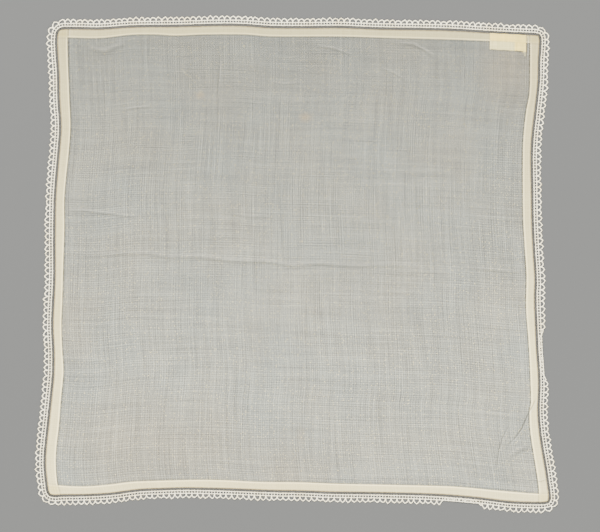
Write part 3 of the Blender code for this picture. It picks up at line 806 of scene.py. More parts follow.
        # Ground: thread by thread between thin and thick, with faint cool and warm clouds
        level = add_node(tree, "ShaderNodeMath", {"operation": "ADD", "use_clamp": True},
                         {0: density, 1: 0.5})
        ground = add_node(tree, "ShaderNodeMix", {"data_type": "RGBA"},
                          {0: level.outputs[0], 6: linear_colour(self.thin),
                           7: linear_colour(self.thick)})
        cloud = add_node(tree, "ShaderNodeTexNoise", {},
                         {"Vector": where.outputs["Object"], "Scale": self.cloud_scale,
                          "Detail": 3.0})
        tint = add_node(tree, "ShaderNodeValToRGB", {}, {"Fac": cloud.outputs["Fac"]})
        stops = tint.color_ramp.elements
        for stop, level_at, tone in zip(stops, self.cloud_levels, (self.cool, self.warm)):
            stop.position = level_at
            stop.color = linear_colour(tone)
        tinted = add_node(tree, "ShaderNodeMix", {"data_type": "RGBA"},
                          {0: self.cloud_share, 6: ground.outputs[2], 7: tint.outputs["Color"]})
        slubbed = add_node(tree, "ShaderNodeMix", {"data_type": "RGBA"},
                           {0: slub, 6: tinted.outputs[2], 7: linear_colour(self.turned_edge)})

        # Hem, corner squares and the bright turned edge
        hem_level = add_node(tree, "ShaderNodeMath", {"operation": "MINIMUM"},
                             {0: layers, 1: 1.0})
        corner_level = add_node(tree, "ShaderNodeMath",
                                {"operation": "SUBTRACT", "use_clamp": True},
                                {0: layers, 1: 1.0})
        hemmed = add_node(tree, "ShaderNodeMix", {"data_type": "RGBA"},
                          {0: hem_level.outputs[0], 6: slubbed.outputs[2],
                           7: linear_colour(self.hem)})
        cornered = add_node(tree, "ShaderNodeMix", {"data_type": "RGBA"},
                            {0: corner_level.outputs[0], 6: hemmed.outputs[2],
                             7: linear_colour(self.corner)})
        swing = add_node(tree, "ShaderNodeMath", {"operation": "MULTIPLY"},
                         {0: density, 1: hem_level.outputs[0]})
        woven = add_node(tree, "ShaderNodeMath", {"operation": "MULTIPLY_ADD"},
                         {0: swing.outputs[0], 1: self.hem_weave, 2: 1.0})
        threaded = add_node(tree, "ShaderNodeVectorMath", {"operation": "SCALE"},
                            {0: cornered.outputs[2], "Scale": woven.outputs[0]})
        ragged = add_node(tree, "ShaderNodeTexNoise", {"noise_dimensions": "2D"},
                          {"Vector": place, "Scale": self.break_scale, "Detail": 1.0})
        broken = add_node(tree, "ShaderNodeMapRange", {},
                          {"Value": ragged.outputs["Fac"], "From Min": self.break_levels[0],
                           "From Max": self.break_levels[1], "To Min": self.broken_share,
                           "To Max": 1.0})
        rimmed = self.rim_toned(tree, place, broken.outputs["Result"],
                                threaded.outputs["Vector"])
        turned = add_node(tree, "ShaderNodeMix", {"data_type": "RGBA"},
                          {0: edge, 6: rimmed, 7: linear_colour(self.turned_edge)})
        # Painted shade, darker toward the top side
        colour = self.with_painted_top_shade(tree, where, hem_level.outputs[0], turned.outputs[2])

        # Old stains, each a soft round patch
        for x, y, across, up, strength in self.stains:
            centre = (-x / across, -y / up, 0.0)
            spot = add_node(tree, "ShaderNodeMapping", {},
                            {"Vector": where.outputs["Object"], "Location": centre,
                             "Scale": (1.0 / (across * MM), 1.0 / (up * MM), 1.0)})
            ball = add_node(tree, "ShaderNodeTexGradient", {"gradient_type": "SPHERICAL"},
                            {"Vector": spot.outputs["Vector"]})
            amount = add_node(tree, "ShaderNodeMath", {"operation": "MULTIPLY"},
                              {0: ball.outputs["Fac"], 1: strength})
            stained = add_node(tree, "ShaderNodeMix", {"data_type": "RGBA"},
                               {0: amount.outputs[0], 6: colour, 7: linear_colour(self.stain)})
            colour = stained.outputs[2]

        # The creases' painted highlight and painted shade, then the needle holes along the hem
        # with the painted shadow beside them, broken as the threads are
        shade, light = self.painted_crease_shading(tree)
        lit = add_node(tree, "ShaderNodeMix", {"data_type": "RGBA"},
                       {0: light, 6: colour, 7: linear_colour(self.crease_painted_highlight)})
        holes_and_shadow = add_node(tree, "ShaderNodeMath", {"operation": "MULTIPLY"},
                         {0: dark, 1: broken.outputs["Result"]})
        shade_and_holes = add_node(tree, "ShaderNodeMath", {"operation": "MAXIMUM"},
                       {0: holes_and_shadow.outputs[0], 1: shade})
        lined = add_node(tree, "ShaderNodeMix", {"data_type": "RGBA"},
                         {0: shade_and_holes.outputs[0], 6: lit.outputs[2], 7: linear_colour(self.line)})
        tree.links.new(lined.outputs[2], shader.inputs["Base Color"])

        # Sheerness: the threads let less light through than the gaps, the hem least of all
        sheer = add_node(tree, "ShaderNodeMath", {"operation": "MULTIPLY_ADD"},
                         {0: density, 1: self.thread_cover, 2: self.ground_alpha})
        covered = add_node(tree, "ShaderNodeMix", {"data_type": "FLOAT"},
                           {0: hem_level.outputs[0], 2: sheer.outputs[0], 3: self.hem_alpha})
        bound = add_node(tree, "ShaderNodeMath", {"operation": "MULTIPLY_ADD"},
                         {0: edge, 1: self.edge_cover, 2: covered.outputs[0]})
        thick = add_node(tree, "ShaderNodeMath", {"operation": "MULTIPLY_ADD"},
                         {0: slub, 1: self.slub_cover, 2: bound.outputs[0]})
        # The dark lines of painted shade and painted shadow also cover more of the board
        shut = add_node(tree, "ShaderNodeMath", {"operation": "MULTIPLY"},
                        {0: shade_and_holes.outputs[0], 1: shade_and_holes.outputs[0]})
        alpha = add_node(tree, "ShaderNodeMath",
                         {"operation": "MULTIPLY_ADD", "use_clamp": True},
                         {0: shut.outputs[0], 1: self.line_cover, 2: thick.outputs[0]})
        tree.links.new(alpha.outputs[0], shader.inputs["Alpha"])

        bump = add_node(tree, "ShaderNodeBump", {},
                        {"Strength": self.relief, "Distance": self.relief_depth * MM,
                         "Height": density})
        tree.links.new(bump.outputs["Normal"], shader.inputs["Normal"])
        shader.inputs["Roughness"].default_value = self.roughness
        shader.inputs["Specular IOR Level"].default_value = self.specular
        return material


@dataclass(frozen=True)
class CrochetCotton:
    """Mercerised crochet cotton, tightly twisted and worked with a fine hook.

    To the eye it is a warm, faintly lustrous white that is brighter and rounder than the
    lawn, a little yellower where it has aged, with the twist of its plies along each loop.
    """

    name: str = "mercerised_crochet_cotton"
    fresh: str = "#FCF8E6"
    aged: str = "#F0E3C0"
    aged_share: tuple[float, float] = (0.45, 0.80)
    # Aged clouds to the metre
    cloud_scale: float = 90.0
    roughness: float = 0.62
    sheen: float = 0.15
    specular: float = 0.3
    relief: float = 0.4
    relief_depth: float = 0.05
    # The plies of fine crochet thread lie about 0.15 mm apart, drawn twice as coarse
    ply: float = 0.3
    # Radians that Blender's wave texture turns along a diagonal of x and y in one unit
    wave_turn: float = 10.0 * math.sqrt(2.0)

    def material(self) -> bpy.types.Material:
        """Return the material of the thread.

        Returns:
            A material that reads Object coordinates alone.
        """
        material, tree, shader = new_material(self.name)
        where = add_node(tree, "ShaderNodeTexCoord")
        cloud = add_node(tree, "ShaderNodeTexNoise", {},
                         {"Vector": where.outputs["Object"], "Scale": self.cloud_scale,
                          "Detail": 4.0, "Roughness": 0.6})
        age = add_node(tree, "ShaderNodeMapRange", {},
                       {"Value": cloud.outputs["Fac"], "From Min": self.aged_share[0],
                        "From Max": self.aged_share[1]})
        colour = add_node(tree, "ShaderNodeMix", {"data_type": "RGBA"},
                          {0: age.outputs["Result"], 6: linear_colour(self.fresh),
                           7: linear_colour(self.aged)})
        tree.links.new(colour.outputs[2], shader.inputs["Base Color"])
        plies = add_node(tree, "ShaderNodeTexWave",
                         {"bands_direction": "DIAGONAL", "wave_profile": "SIN"},
                         {"Vector": where.outputs["Object"],
                          "Scale": math.tau / (self.wave_turn * self.ply * MM),
                          "Distortion": 3.0,
                          "Detail": 1.0, "Detail Scale": 2.0})
        bump = add_node(tree, "ShaderNodeBump", {},
                        {"Strength": self.relief, "Distance": self.relief_depth * MM,
                         "Height": plies.outputs["Fac"]})
        tree.links.new(bump.outputs["Normal"], shader.inputs["Normal"])
        shader.inputs["Roughness"].default_value = self.roughness
        shader.inputs["Sheen Weight"].default_value = self.sheen
        shader.inputs["Specular IOR Level"].default_value = self.specular
        return material


@dataclass(frozen=True)
class CottonTape:
    """Plain woven cotton tape, unprinted, yellowed with age.

    To the eye it is an opaque matt cream, yellower where the hem under it shows through,
    with fine threads both ways. Its frayed tail is thinner and half sheer.
    """

    over_hem: str = "#D6C273"
    over_ground: str = "#C0B98A"
    doubled: str = "#D0BE72"
    tail: str = "#A8A48C"
    tail_alpha: float = 0.45
    # The tape's threads lie about 0.3 mm apart, drawn three times as coarse
    thread: float = 0.9
    # How much longer than wide a thread's light and dark places are
    stretch: float = 25.0
    weave_levels: tuple[float, float] = (0.7, 1.3)
    weave_tones: tuple[float, float] = (0.82, 1.12)
    roughness: float = 0.85
    specular: float = 0.2
    relief: float = 0.4
    relief_depth: float = 0.1

    def material(self) -> bpy.types.Material:
        """Return the material of the tape.

        Returns:
            A material that reads the attribute zones (over the hem, doubled end, tail).
        """
        material, tree, shader = new_material("plain_woven_cotton_tape")
        zone_node = add_node(tree, "ShaderNodeAttribute", {"attribute_name": "zones"})
        zones = add_node(tree, "ShaderNodeSeparateXYZ", {}, {0: zone_node.outputs["Vector"]})
        on_hem, doubled, tail = (zones.outputs[index] for index in range(3))
        base = add_node(tree, "ShaderNodeMix", {"data_type": "RGBA"},
                        {0: on_hem, 6: linear_colour(self.over_ground),
                         7: linear_colour(self.over_hem)})
        ended = add_node(tree, "ShaderNodeMix", {"data_type": "RGBA"},
                         {0: doubled, 6: base.outputs[2], 7: linear_colour(self.doubled)})
        frayed = add_node(tree, "ShaderNodeMix", {"data_type": "RGBA"},
                          {0: tail, 6: ended.outputs[2], 7: linear_colour(self.tail)})
        where = add_node(tree, "ShaderNodeTexCoord")
        threads = []
        for scale in ((1.0, 1.0 / self.stretch, 1.0), (1.0 / self.stretch, 1.0, 1.0)):
            mapping = add_node(tree, "ShaderNodeMapping", {},
                               {"Vector": where.outputs["Object"], "Scale": scale})
            noise = add_node(tree, "ShaderNodeTexNoise", {},
                             {"Vector": mapping.outputs["Vector"],
                              "Scale": 1.0 / (self.thread * MM), "Detail": 2.0})
            threads.append(noise.outputs["Fac"])
        weave = add_node(tree, "ShaderNodeMath", {"operation": "ADD"},
                         {0: threads[0], 1: threads[1]})
        light = add_node(tree, "ShaderNodeMapRange", {},
                         {"Value": weave.outputs[0], "From Min": self.weave_levels[0],
                          "From Max": self.weave_levels[1], "To Min": self.weave_tones[0],
                          "To Max": self.weave_tones[1]})
        toned = add_node(tree, "ShaderNodeVectorMath", {"operation": "SCALE"},
                         {0: frayed.outputs[2], "Scale": light.outputs["Result"]})
        tree.links.new(toned.outputs["Vector"], shader.inputs["Base Color"])
        sheer = add_node(tree, "ShaderNodeMath", {"operation": "MULTIPLY_ADD"},
                         {0: tail, 1: self.tail_alpha - 1.0, 2: 1.0})
        tree.links.new(sheer.outputs[0], shader.inputs["Alpha"])
        bump = add_node(tree, "ShaderNodeBump", {},
                        {"Strength": self.relief, "Distance": self.relief_depth * MM,
                         "Height": weave.outputs[0]})
        tree.links.new(bump.outputs["Normal"], shader.inputs["Normal"])
        shader.inputs["Roughness"].default_value = self.roughness
        shader.inputs["Specular IOR Level"].default_value = self.specular
        return material


@dataclass(frozen=True)
class PaleBoard:
    """Painted board under the handkerchief: an even, matt, pale grey."""

    light: str = "#525459"
    dark: str = "#4F5156"
    # Clouds to the metre
    cloud_scale: float = 3.0
    roughness: float = 0.95
    specular: float = 0.1

    def material(self) -> bpy.types.Material:
        """Return the material of the surface that the handkerchief lies on.

        Returns:
            A material that reads Object coordinates alone.
        """
        material, tree, shader = new_material("matt_painted_board")
        where = add_node(tree, "ShaderNodeTexCoord")
        cloud = add_node(tree, "ShaderNodeTexNoise", {},
                         {"Vector": where.outputs["Object"], "Scale": self.cloud_scale,
                          "Detail": 2.0})
        colour = add_node(tree, "ShaderNodeMix", {"data_type": "RGBA"},
                          {0: cloud.outputs["Fac"], 6: linear_colour(self.dark),
                           7: linear_colour(self.light)})
        tree.links.new(colour.outputs[2], shader.inputs["Base Color"])
        shader.inputs["Roughness"].default_value = self.roughness
        shader.inputs["Specular IOR Level"].default_value = self.specular
        return material


def make_mesh(name: str, points: np.ndarray, faces: list[tuple[int, ...]] | np.ndarray,
              edges: np.ndarray | None = None) -> bpy.types.Object:
    """Create an object from points in the tables' millimetres.

    Args:
        name: the object's name.
        points: places, one a row, in the tables' frame.
        faces: point numbers of each face.
        edges: point numbers of each loose edge, for a wire.

    Returns:
        The object at the origin, with its place in its mesh.
    """
    mesh = bpy.data.meshes.new(name)
    placed = (np.asarray(points) + np.append(TABLE_SHIFT, 0.0)) * MM
    wires = [] if edges is None else edges.tolist()
    rows = faces.tolist() if isinstance(faces, np.ndarray) else faces
    mesh.from_pydata(placed.tolist(), wires, rows)
    mesh.update()
    item = bpy.data.objects.new(name, mesh)
    bpy.context.scene.collection.objects.link(item)
    return item


def set_attribute(item: bpy.types.Object, name: str, values: np.ndarray) -> None:
    """Store three values a point on a mesh under a name."""
    attribute = item.data.attributes.new(name, "FLOAT_VECTOR", "POINT")
    attribute.data.foreach_set("vector", np.ascontiguousarray(values, np.float32).ravel())


def closed_sheet_faces(rows: int, columns: int) -> np.ndarray:
    """Return the faces of a closed thin sheet whose two grids of points follow each other.

    Args:
        rows: rows of points in one grid.
        columns: points in one row.

    Returns:
        Four point numbers a face: upper grid, lower grid turned over, and the rim.
    """
    grid = np.arange(rows * columns).reshape(rows, columns)
    upper = np.stack((grid[:-1, :-1], grid[:-1, 1:], grid[1:, 1:], grid[1:, :-1]), -1)
    upper = upper.reshape(-1, 4)
    lower = upper[:, ::-1] + rows * columns
    rim = np.concatenate((grid[0, :-1], grid[:-1, -1], grid[-1, :0:-1], grid[:0:-1, 0]))
    after = np.roll(rim, -1)
    walls = np.stack((rim, rim + rows * columns, after + rows * columns, after), -1)
    return np.vstack((upper, lower, walls))


EDGE = edge_walk()


def table_shift() -> np.ndarray:
    """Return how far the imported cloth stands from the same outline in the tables.

    Returns:
        The shift in x and y, in millimetres.
    """
    low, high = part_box("cloth")
    stations = np.linspace(0.0, EDGE.length, 4 * ARCH_COUNT, endpoint=False)
    outline = EDGE.offset(stations, HEM_FOLD_OFFSET)
    middle = 0.5 * (outline.min(axis=0) + outline.max(axis=0))
    packed = np.array((low.x + high.x, low.y + high.y)) * 0.5 / MM
    return packed - middle


TABLE_SHIFT = table_shift()


@dataclass
class Lawn:
    """The woven square with its turned hem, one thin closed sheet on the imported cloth."""

    # Side of one square of the grid on the ground, and step of the lines it is laid between
    pitch: float = 1.6
    line_step: float = 0.25
    # How far a hem's line reaches from the table's middle, and the points that it has
    table_reach: float = 175.0
    table_points: int = 1751
    ground_low: float = 0.18
    ground_thickness: float = 0.20
    hem_low: float = 0.04
    hem_rise: float = 0.42
    corner_rise: float = 0.22
    turned_bead: float = 0.10
    # Width of the step up to the hem, height of the rim's middle, half its thickness there,
    # and width of its rounding
    step: float = 0.3
    rim_height: float = 0.30
    rim_half: float = 0.02
    rim_width: float = 0.9
    # The ground's soft billows. Columns: how long, how far they wander, how long that is
    billow: float = 0.10
    billow_x: tuple[float, float, float] = (17.0, 1.7, 41.0)
    billow_y: tuple[float, float, float] = (23.0, 1.1, 37.0)
    # To the eye: middle and half width of the turned edge and of the dark line beside it, that
    # line being needle holes with a painted shadow, as depths into the hem, and how much of
    # each another hem lying over it hides
    turned_at: tuple[float, float] = (0.45, 0.45)
    dark_at: tuple[float, float] = (-0.38, 0.42)
    turned_hidden: float = 0.75
    dark_hidden: float = 0.55
    hem_width: float = 6.0
    ground_width: float = 301.0
    ground_height: float = 291.0
    # Rows of points at these distances from a hem's inner edge, into the ground and the hem
    ground_rows: tuple[float, ...] = (0.0, 0.3, 0.55, 0.85, 1.25, 1.8)
    hem_shares: tuple[float, ...] = (0.0, 0.05, 0.12, 0.22, 0.4, 0.6, 0.76, 0.86, 0.94, 1.0)
    finish: SheerLawn = SheerLawn()

    def shares(self, extent: float) -> np.ndarray:
        """Return the places of grid lines across the ground.

        Args:
            extent: the ground's width or height.

        Returns:
            Places as shares of the extent, closer together beside the hems.
        """
        margin = np.array(self.ground_rows)
        count = round((extent - 2.0 * margin[-1]) / self.pitch)
        middle = np.linspace(margin[-1], extent - margin[-1], count + 1)
        return np.concatenate((margin[:-1], middle, extent - margin[-2::-1])) / extent

    def outer_lines(self) -> tuple[list[Walk], list[Walk]]:
        """Return the grid's main lines from left to right and from bottom to top.

        Returns:
            Bottom edge, bottom hem, top hem and top edge, each from left to right; then
            left edge, left hem, right hem and right edge, each from bottom to top.
        """
        stations = np.arange(0.0, EDGE.length, self.line_step)
        outline = EDGE.offset(stations, HEM_FOLD_OFFSET)
        diagonals = ((-1.0, 1.0), (1.0, 1.0), (1.0, -1.0), (-1.0, -1.0))
        first = int(np.argmax(outline @ np.array(diagonals[0])))
        outline = np.roll(outline, -first, axis=0)
        _, upper_right, lower_right, lower_left = (
            int(np.argmax(outline @ np.array(diagonal))) for diagonal in diagonals)
        top = outline[:upper_right + 1]
        right = outline[upper_right:lower_right + 1][::-1]
        bottom = outline[lower_right:lower_left + 1][::-1]
        left = np.vstack((outline[lower_left:], outline[:1]))
        reach = np.linspace(-self.table_reach, self.table_reach, self.table_points)
        level = [np.stack((reach, hem_across(side, reach)), -1)
                 for side in (Side.BOTTOM, Side.TOP)]
        upright = [np.stack((hem_across(side, reach), reach), -1)
                   for side in (Side.LEFT, Side.RIGHT)]
        rows = [bottom, level[0], level[1], top]
        columns = [left, upright[0], upright[1], right]
        return [Walk(points) for points in rows], [Walk(points) for points in columns]

    @staticmethod
    def crossing(row: Walk, column: Walk) -> np.ndarray:
        """Return the point of one line that lies nearest to another line.

        Args:
            row: the line whose point is sought.
            column: the line that crosses it.

        Returns:
            The point.
        """
        best = None
        for point in row.points:
            away = float(np.min(np.linalg.norm(column.points - point, axis=1)))
            if best is None or away < best[0]:
                best = (away, point)
        return best[1]

    def lay_grid(self) -> tuple[np.ndarray, np.ndarray]:
        """Return the grid's places on the table and on the flat cloth.

        Returns:
            Two grids of x and y in millimetres, rows from bottom to top.
        """
        rows, columns = self.outer_lines()
        nodes = [[self.crossing(row, column) for column in columns] for row in rows]
        hem = np.array(self.hem_shares)
        shares_x = (1.0 - hem[::-1], self.shares(self.ground_width), hem)
        shares_y = (1.0 - hem[::-1], self.shares(self.ground_height), hem)
        flat_x = (self.hem_width, self.ground_width, self.hem_width)
        flat_y = (self.hem_width, self.ground_height, self.hem_width)
        bands = []
        flat_bands = []
        for j in range(3):
            blocks = []
            flat_blocks = []
            v = shares_y[j][:, None, None]
            for i in range(3):
                u = shares_x[i][None, :, None]
                low = rows[j].between(nodes[j][i], nodes[j][i + 1], shares_x[i])[None]
                high = rows[j + 1].between(nodes[j + 1][i], nodes[j + 1][i + 1], shares_x[i])[None]
                left = columns[i].between(nodes[j][i], nodes[j + 1][i], shares_y[j])[:, None]
                right = columns[i + 1].between(nodes[j][i + 1], nodes[j + 1][i + 1],
                                               shares_y[j])[:, None]
                corners = ((1.0 - u) * (1.0 - v) * low[:, :1] + u * (1.0 - v) * low[:, -1:]
                           + (1.0 - u) * v * high[:, :1] + u * v * high[:, -1:])
                block = (1.0 - v) * low + v * high + (1.0 - u) * left + u * right - corners
                across = sum(flat_x[:i]) + shares_x[i] * flat_x[i]
                up = sum(flat_y[:j]) + shares_y[j] * flat_y[j]
                flat = np.stack(np.meshgrid(across, up), -1)
                keep_x = slice(0 if i == 0 else 1, None)
                keep_y = slice(0 if j == 0 else 1, None)
                blocks.append(block[keep_y, keep_x])
                flat_blocks.append(flat[keep_y, keep_x])
            bands.append(np.concatenate(blocks, axis=1))
            flat_bands.append(np.concatenate(flat_blocks, axis=1))
        return np.concatenate(bands, axis=0), np.concatenate(flat_bands, axis=0)

    def zones(self, points: np.ndarray) -> np.ndarray:
        """Return layers of hem, turned edge and dark line at each point.

        Args:
            points: places on the cloth, one a row.

        Returns:
            The three values, one point a row.
        """
        columns = np.array([HEM_LINES[side] for side in Side])
        depths = hem_depths(points) + columns[:, 0]
        hems = smooth_step(depths / self.step)
        layers = hems.sum(axis=-1)
        others = layers[:, None] - hems
        lines = []
        for (middle, half), hidden in ((self.turned_at, self.turned_hidden),
                                       (self.dark_at, self.dark_hidden)):
            bell = np.exp(-((depths - middle) / half) ** 2)
            lines.append(bell * np.clip(1.0 - hidden * others, 0.0, 1.0))
        turned, shadow = lines
        dark = shadow * columns[:, 1]
        crossed = np.sort(shadow, axis=-1)[:, -2:].prod(axis=-1)
        return np.stack((layers, turned.max(axis=-1), np.maximum(dark.max(axis=-1), crossed)), -1)

    def height(self, points: np.ndarray) -> np.ndarray:
        """Return the upper face's height over points well inside the cloth.

        Args:
            points: places on the cloth, one a row.

        Returns:
            One height a point.
        """
        zones = self.zones(points)
        hem = np.minimum(zones[:, 0], 1.0)
        corner = np.clip(zones[:, 0] - 1.0, 0.0, 1.0)
        rise, _ = crease_relief(points)
        x, y = points.T
        long_x, wander_x, turn_x = self.billow_x
        long_y, wander_y, turn_y = self.billow_y
        wave = (np.sin(x / long_x + wander_x * np.sin(y / turn_x))
                * np.sin(y / long_y + wander_y * np.sin(x / turn_y)))
        return (self.ground_low + self.ground_thickness + self.hem_rise * hem
                + self.corner_rise * corner + self.turned_bead * zones[:, 1] * hem
                + rise + self.billow * (wave + 1.0) * 0.5 * (1.0 - hem))

    def build(self) -> bpy.types.Object:
        """Build the cloth as one closed sheet, with its attributes and its material.

        Returns:
            The cloth.
        """
        grid, flat = self.lay_grid()
        rows, columns = grid.shape[:2]
        points = grid.reshape(-1, 2)
        place = flat.reshape(-1, 2)
        zones = self.zones(points)
        _, crease = crease_relief(points)
        full = self.height(points)
        hem = np.minimum(zones[:, 0], 1.0)
        thickness = self.ground_thickness + (self.hem_rise + self.ground_low - self.hem_low) * hem
        extent = place.max(axis=0)
        from_rim = np.minimum(place, extent - place).min(axis=1)
        inward = np.clip(from_rim / self.rim_width, 0.0, 1.0)
        rounding = np.sqrt(1.0 - (1.0 - inward) ** 2)
        rim_top = self.rim_height + self.rim_half
        rim_foot = self.rim_height - self.rim_half
        upper = rim_top + (full - rim_top) * rounding
        lower = rim_foot + (full - thickness - rim_foot) * rounding
        vertices = np.vstack((np.column_stack((points, upper)), np.column_stack((points, lower))))
        item = make_mesh("lawn", vertices, closed_sheet_faces(rows, columns))
        flat_place = np.column_stack((place, from_rim))
        set_attribute(item, "thread_place", np.vstack((flat_place, flat_place)))
        set_attribute(item, "zones", np.vstack((zones, zones)))
        set_attribute(item, "crease", np.vstack((crease, crease)))
        item.data.materials.append(self.finish.material())
        item.data.shade_smooth()
        return item


@dataclass
class StitchSizes:
    """Sizes of one row of worked thread, the named inputs of its tree.

    Lengths are in millimetres, the angle is in degrees, and the unevenness is a share.
    """

    spacing: float = 0.92
    leg_length: float = 1.05
    leg_width: float = 0.28
    leg_height: float = 0.36
    leg_spread: float = 0.13
    leg_angle: float = 12.0
    core_radius: float = 0.20
    unevenness: float = 0.08


class WorkedThread:
    """Geometry Nodes tree that works thread along every path of a wire."""

    LENGTHS = ("spacing", "leg_length", "leg_width", "leg_height", "leg_spread", "core_radius")
    LEG_SIDES = 5
    LEG_RINGS = 4
    CORE_SIDES = 5
    # How far a stitch's size and turn (radians) may stray, in unevennesses
    STRAY = 2.2

    def __init__(self, work: Work) -> None:
        """Build the tree for one way of working.

        Args:
            work: how the thread is worked.
        """
        self.work = work
        self.tree = bpy.data.node_groups.new(f"worked_{work.name.lower()}", "GeometryNodeTree")
        self.sockets: dict[str, str] = {}
        face = self.tree.interface
        face.new_socket("Geometry", in_out="INPUT", socket_type="NodeSocketGeometry")
        for size in fields(StitchSizes):
            self.add_input(size.name, "NodeSocketFloat", size.default)
        self.add_input("seed", "NodeSocketInt", 0)
        self.add_input("finish", "NodeSocketMaterial", None)
        face.new_socket("Geometry", in_out="OUTPUT", socket_type="NodeSocketGeometry")
        self.fill()

    def add_input(self, name: str, kind: str, default: object) -> None:
        """Add one named input to the tree and keep its socket's identifier.

        Args:
            name: the input's name.
            kind: Blender's name of the socket's kind.
            default: its value where no modifier sets it, or None.
        """
        socket = self.tree.interface.new_socket(name, in_out="INPUT", socket_type=kind)
        if default is not None:
            socket.default_value = default
        self.sockets[name] = socket.identifier

    def leg(self, given: bpy.types.Node, side: float) -> bpy.types.NodeSocket:
        """Return one leg of a stitch, set aside and turned.

        Args:
            given: the tree's input node.
            side: 1 for the left leg, -1 for the right one.

        Returns:
            The leg's mesh.
        """
        tree = self.tree
        ball = add_node(tree, "GeometryNodeMeshUVSphere", {},
                        {"Segments": self.LEG_SIDES, "Rings": self.LEG_RINGS, "Radius": 0.5})
        size = add_node(tree, "ShaderNodeCombineXYZ", {},
                        {0: given.outputs["leg_length"], 1: given.outputs["leg_width"],
                         2: given.outputs["leg_height"]})
        aside = add_node(tree, "ShaderNodeMath", {"operation": "MULTIPLY"},
                         {0: given.outputs["leg_spread"], 1: side})
        turn = add_node(tree, "ShaderNodeMath", {"operation": "MULTIPLY"},
                        {0: given.outputs["leg_angle"], 1: math.radians(side)})
        shift = add_node(tree, "ShaderNodeCombineXYZ", {}, {1: aside.outputs[0]})
        spin = add_node(tree, "ShaderNodeCombineXYZ", {}, {2: turn.outputs[0]})
        placed = add_node(tree, "GeometryNodeTransform", {},
                          {"Geometry": ball.outputs["Mesh"], "Translation": shift.outputs[0],
                           "Rotation": spin.outputs[0], "Scale": size.outputs[0]})
        return placed.outputs["Geometry"]

    def stitches(self, given: bpy.types.Node, path: bpy.types.NodeSocket,
                 ) -> bpy.types.NodeSocket:
        """Return the stitches along the path, each turned and sized a little unevenly.

        Args:
            given: the tree's input node.
            path: the curve that they follow.

        Returns:
            The stitches as instances.
        """
        tree = self.tree
        legs = [self.leg(given, 1.0)]
        if self.work is Work.CHAIN:
            legs.append(self.leg(given, -1.0))
        pair = add_node(tree, "GeometryNodeJoinGeometry")
        for leg in legs:
            tree.links.new(leg, pair.inputs["Geometry"])
        spots = add_node(tree, "GeometryNodeResampleCurve", {"mode": "LENGTH"},
                         {"Curve": path, "Length": given.outputs["spacing"]})
        tangent = add_node(tree, "GeometryNodeInputTangent")
        facing = add_node(tree, "FunctionNodeAxesToRotation",
                          {"primary_axis": "X", "secondary_axis": "Z"},
                          {"Primary Axis": tangent.outputs[0], "Secondary Axis": (0.0, 0.0, 1.0)})
        low = add_node(tree, "ShaderNodeMath", {"operation": "MULTIPLY"},
                       {0: given.outputs["unevenness"], 1: -self.STRAY})
        high = add_node(tree, "ShaderNodeMath", {"operation": "MULTIPLY"},
                        {0: given.outputs["unevenness"], 1: self.STRAY})
        tilt = add_node(tree, "FunctionNodeRandomValue", {"data_type": "FLOAT_VECTOR"},
                        {"Min": (-1.0, -1.0, -1.0), "Max": (1.0, 1.0, 1.0),
                         "Seed": given.outputs["seed"]})
        tilted = add_node(tree, "ShaderNodeVectorMath", {"operation": "SCALE"},
                          {0: tilt.outputs[0], "Scale": high.outputs[0]})
        angle = add_node(tree, "FunctionNodeEulerToRotation", {}, {0: tilted.outputs["Vector"]})
        turned = add_node(tree, "FunctionNodeRotateRotation", {"rotation_space": "LOCAL"},
                          {"Rotation": facing.outputs[0], "Rotate By": angle.outputs[0]})
        least = add_node(tree, "ShaderNodeMath", {"operation": "ADD"},
                         {0: low.outputs[0], 1: 1.0})
        most = add_node(tree, "ShaderNodeMath", {"operation": "ADD"},
                        {0: high.outputs[0], 1: 1.0})
        swell = add_node(tree, "FunctionNodeRandomValue", {"data_type": "FLOAT"},
                         {2: least.outputs[0], 3: most.outputs[0],
                          "Seed": given.outputs["seed"]})
        placed = add_node(tree, "GeometryNodeInstanceOnPoints", {},
                          {"Points": spots.outputs[0], "Instance": pair.outputs[0],
                           "Rotation": turned.outputs[0], "Scale": swell.outputs[1]})
        return placed.outputs["Instances"]

    def core(self, given: bpy.types.Node, path: bpy.types.NodeSocket) -> bpy.types.NodeSocket:
        """Return the round thread along the path.

        Args:
            given: the tree's input node.
            path: the curve that it follows.

        Returns:
            The thread's mesh.
        """
        ring = add_node(self.tree, "GeometryNodeCurvePrimitiveCircle", {"mode": "RADIUS"},
                        {"Resolution": self.CORE_SIDES, "Radius": given.outputs["core_radius"]})
        tube = add_node(self.tree, "GeometryNodeCurveToMesh", {},
                        {"Curve": path, "Profile Curve": ring.outputs[0], "Fill Caps": True})
        return tube.outputs["Mesh"]

    def fill(self) -> None:
        """Lay out the tree's nodes, ending in realized instances and the material."""
        tree = self.tree
        given = add_node(tree, "NodeGroupInput")
        path = add_node(tree, "GeometryNodeMeshToCurve", {}, {"Mesh": given.outputs["Geometry"]})
        parts = []
        if self.work is not Work.WHIP:
            parts.append(self.core(given, path.outputs[0]))
        if self.work is not Work.THREAD:
            parts.append(self.stitches(given, path.outputs[0]))
        joined = add_node(tree, "GeometryNodeJoinGeometry")
        for part in parts:
            tree.links.new(part, joined.inputs["Geometry"])
        smooth = add_node(tree, "GeometryNodeSetShadeSmooth", {}, {0: joined.outputs[0]})
        real = add_node(tree, "GeometryNodeRealizeInstances", {}, {0: smooth.outputs[0]})
        dressed = add_node(tree, "GeometryNodeSetMaterial", {},
                           {"Geometry": real.outputs[0], "Material": given.outputs["finish"]})
        add_node(tree, "NodeGroupOutput", {}, {0: dressed.outputs[0]})

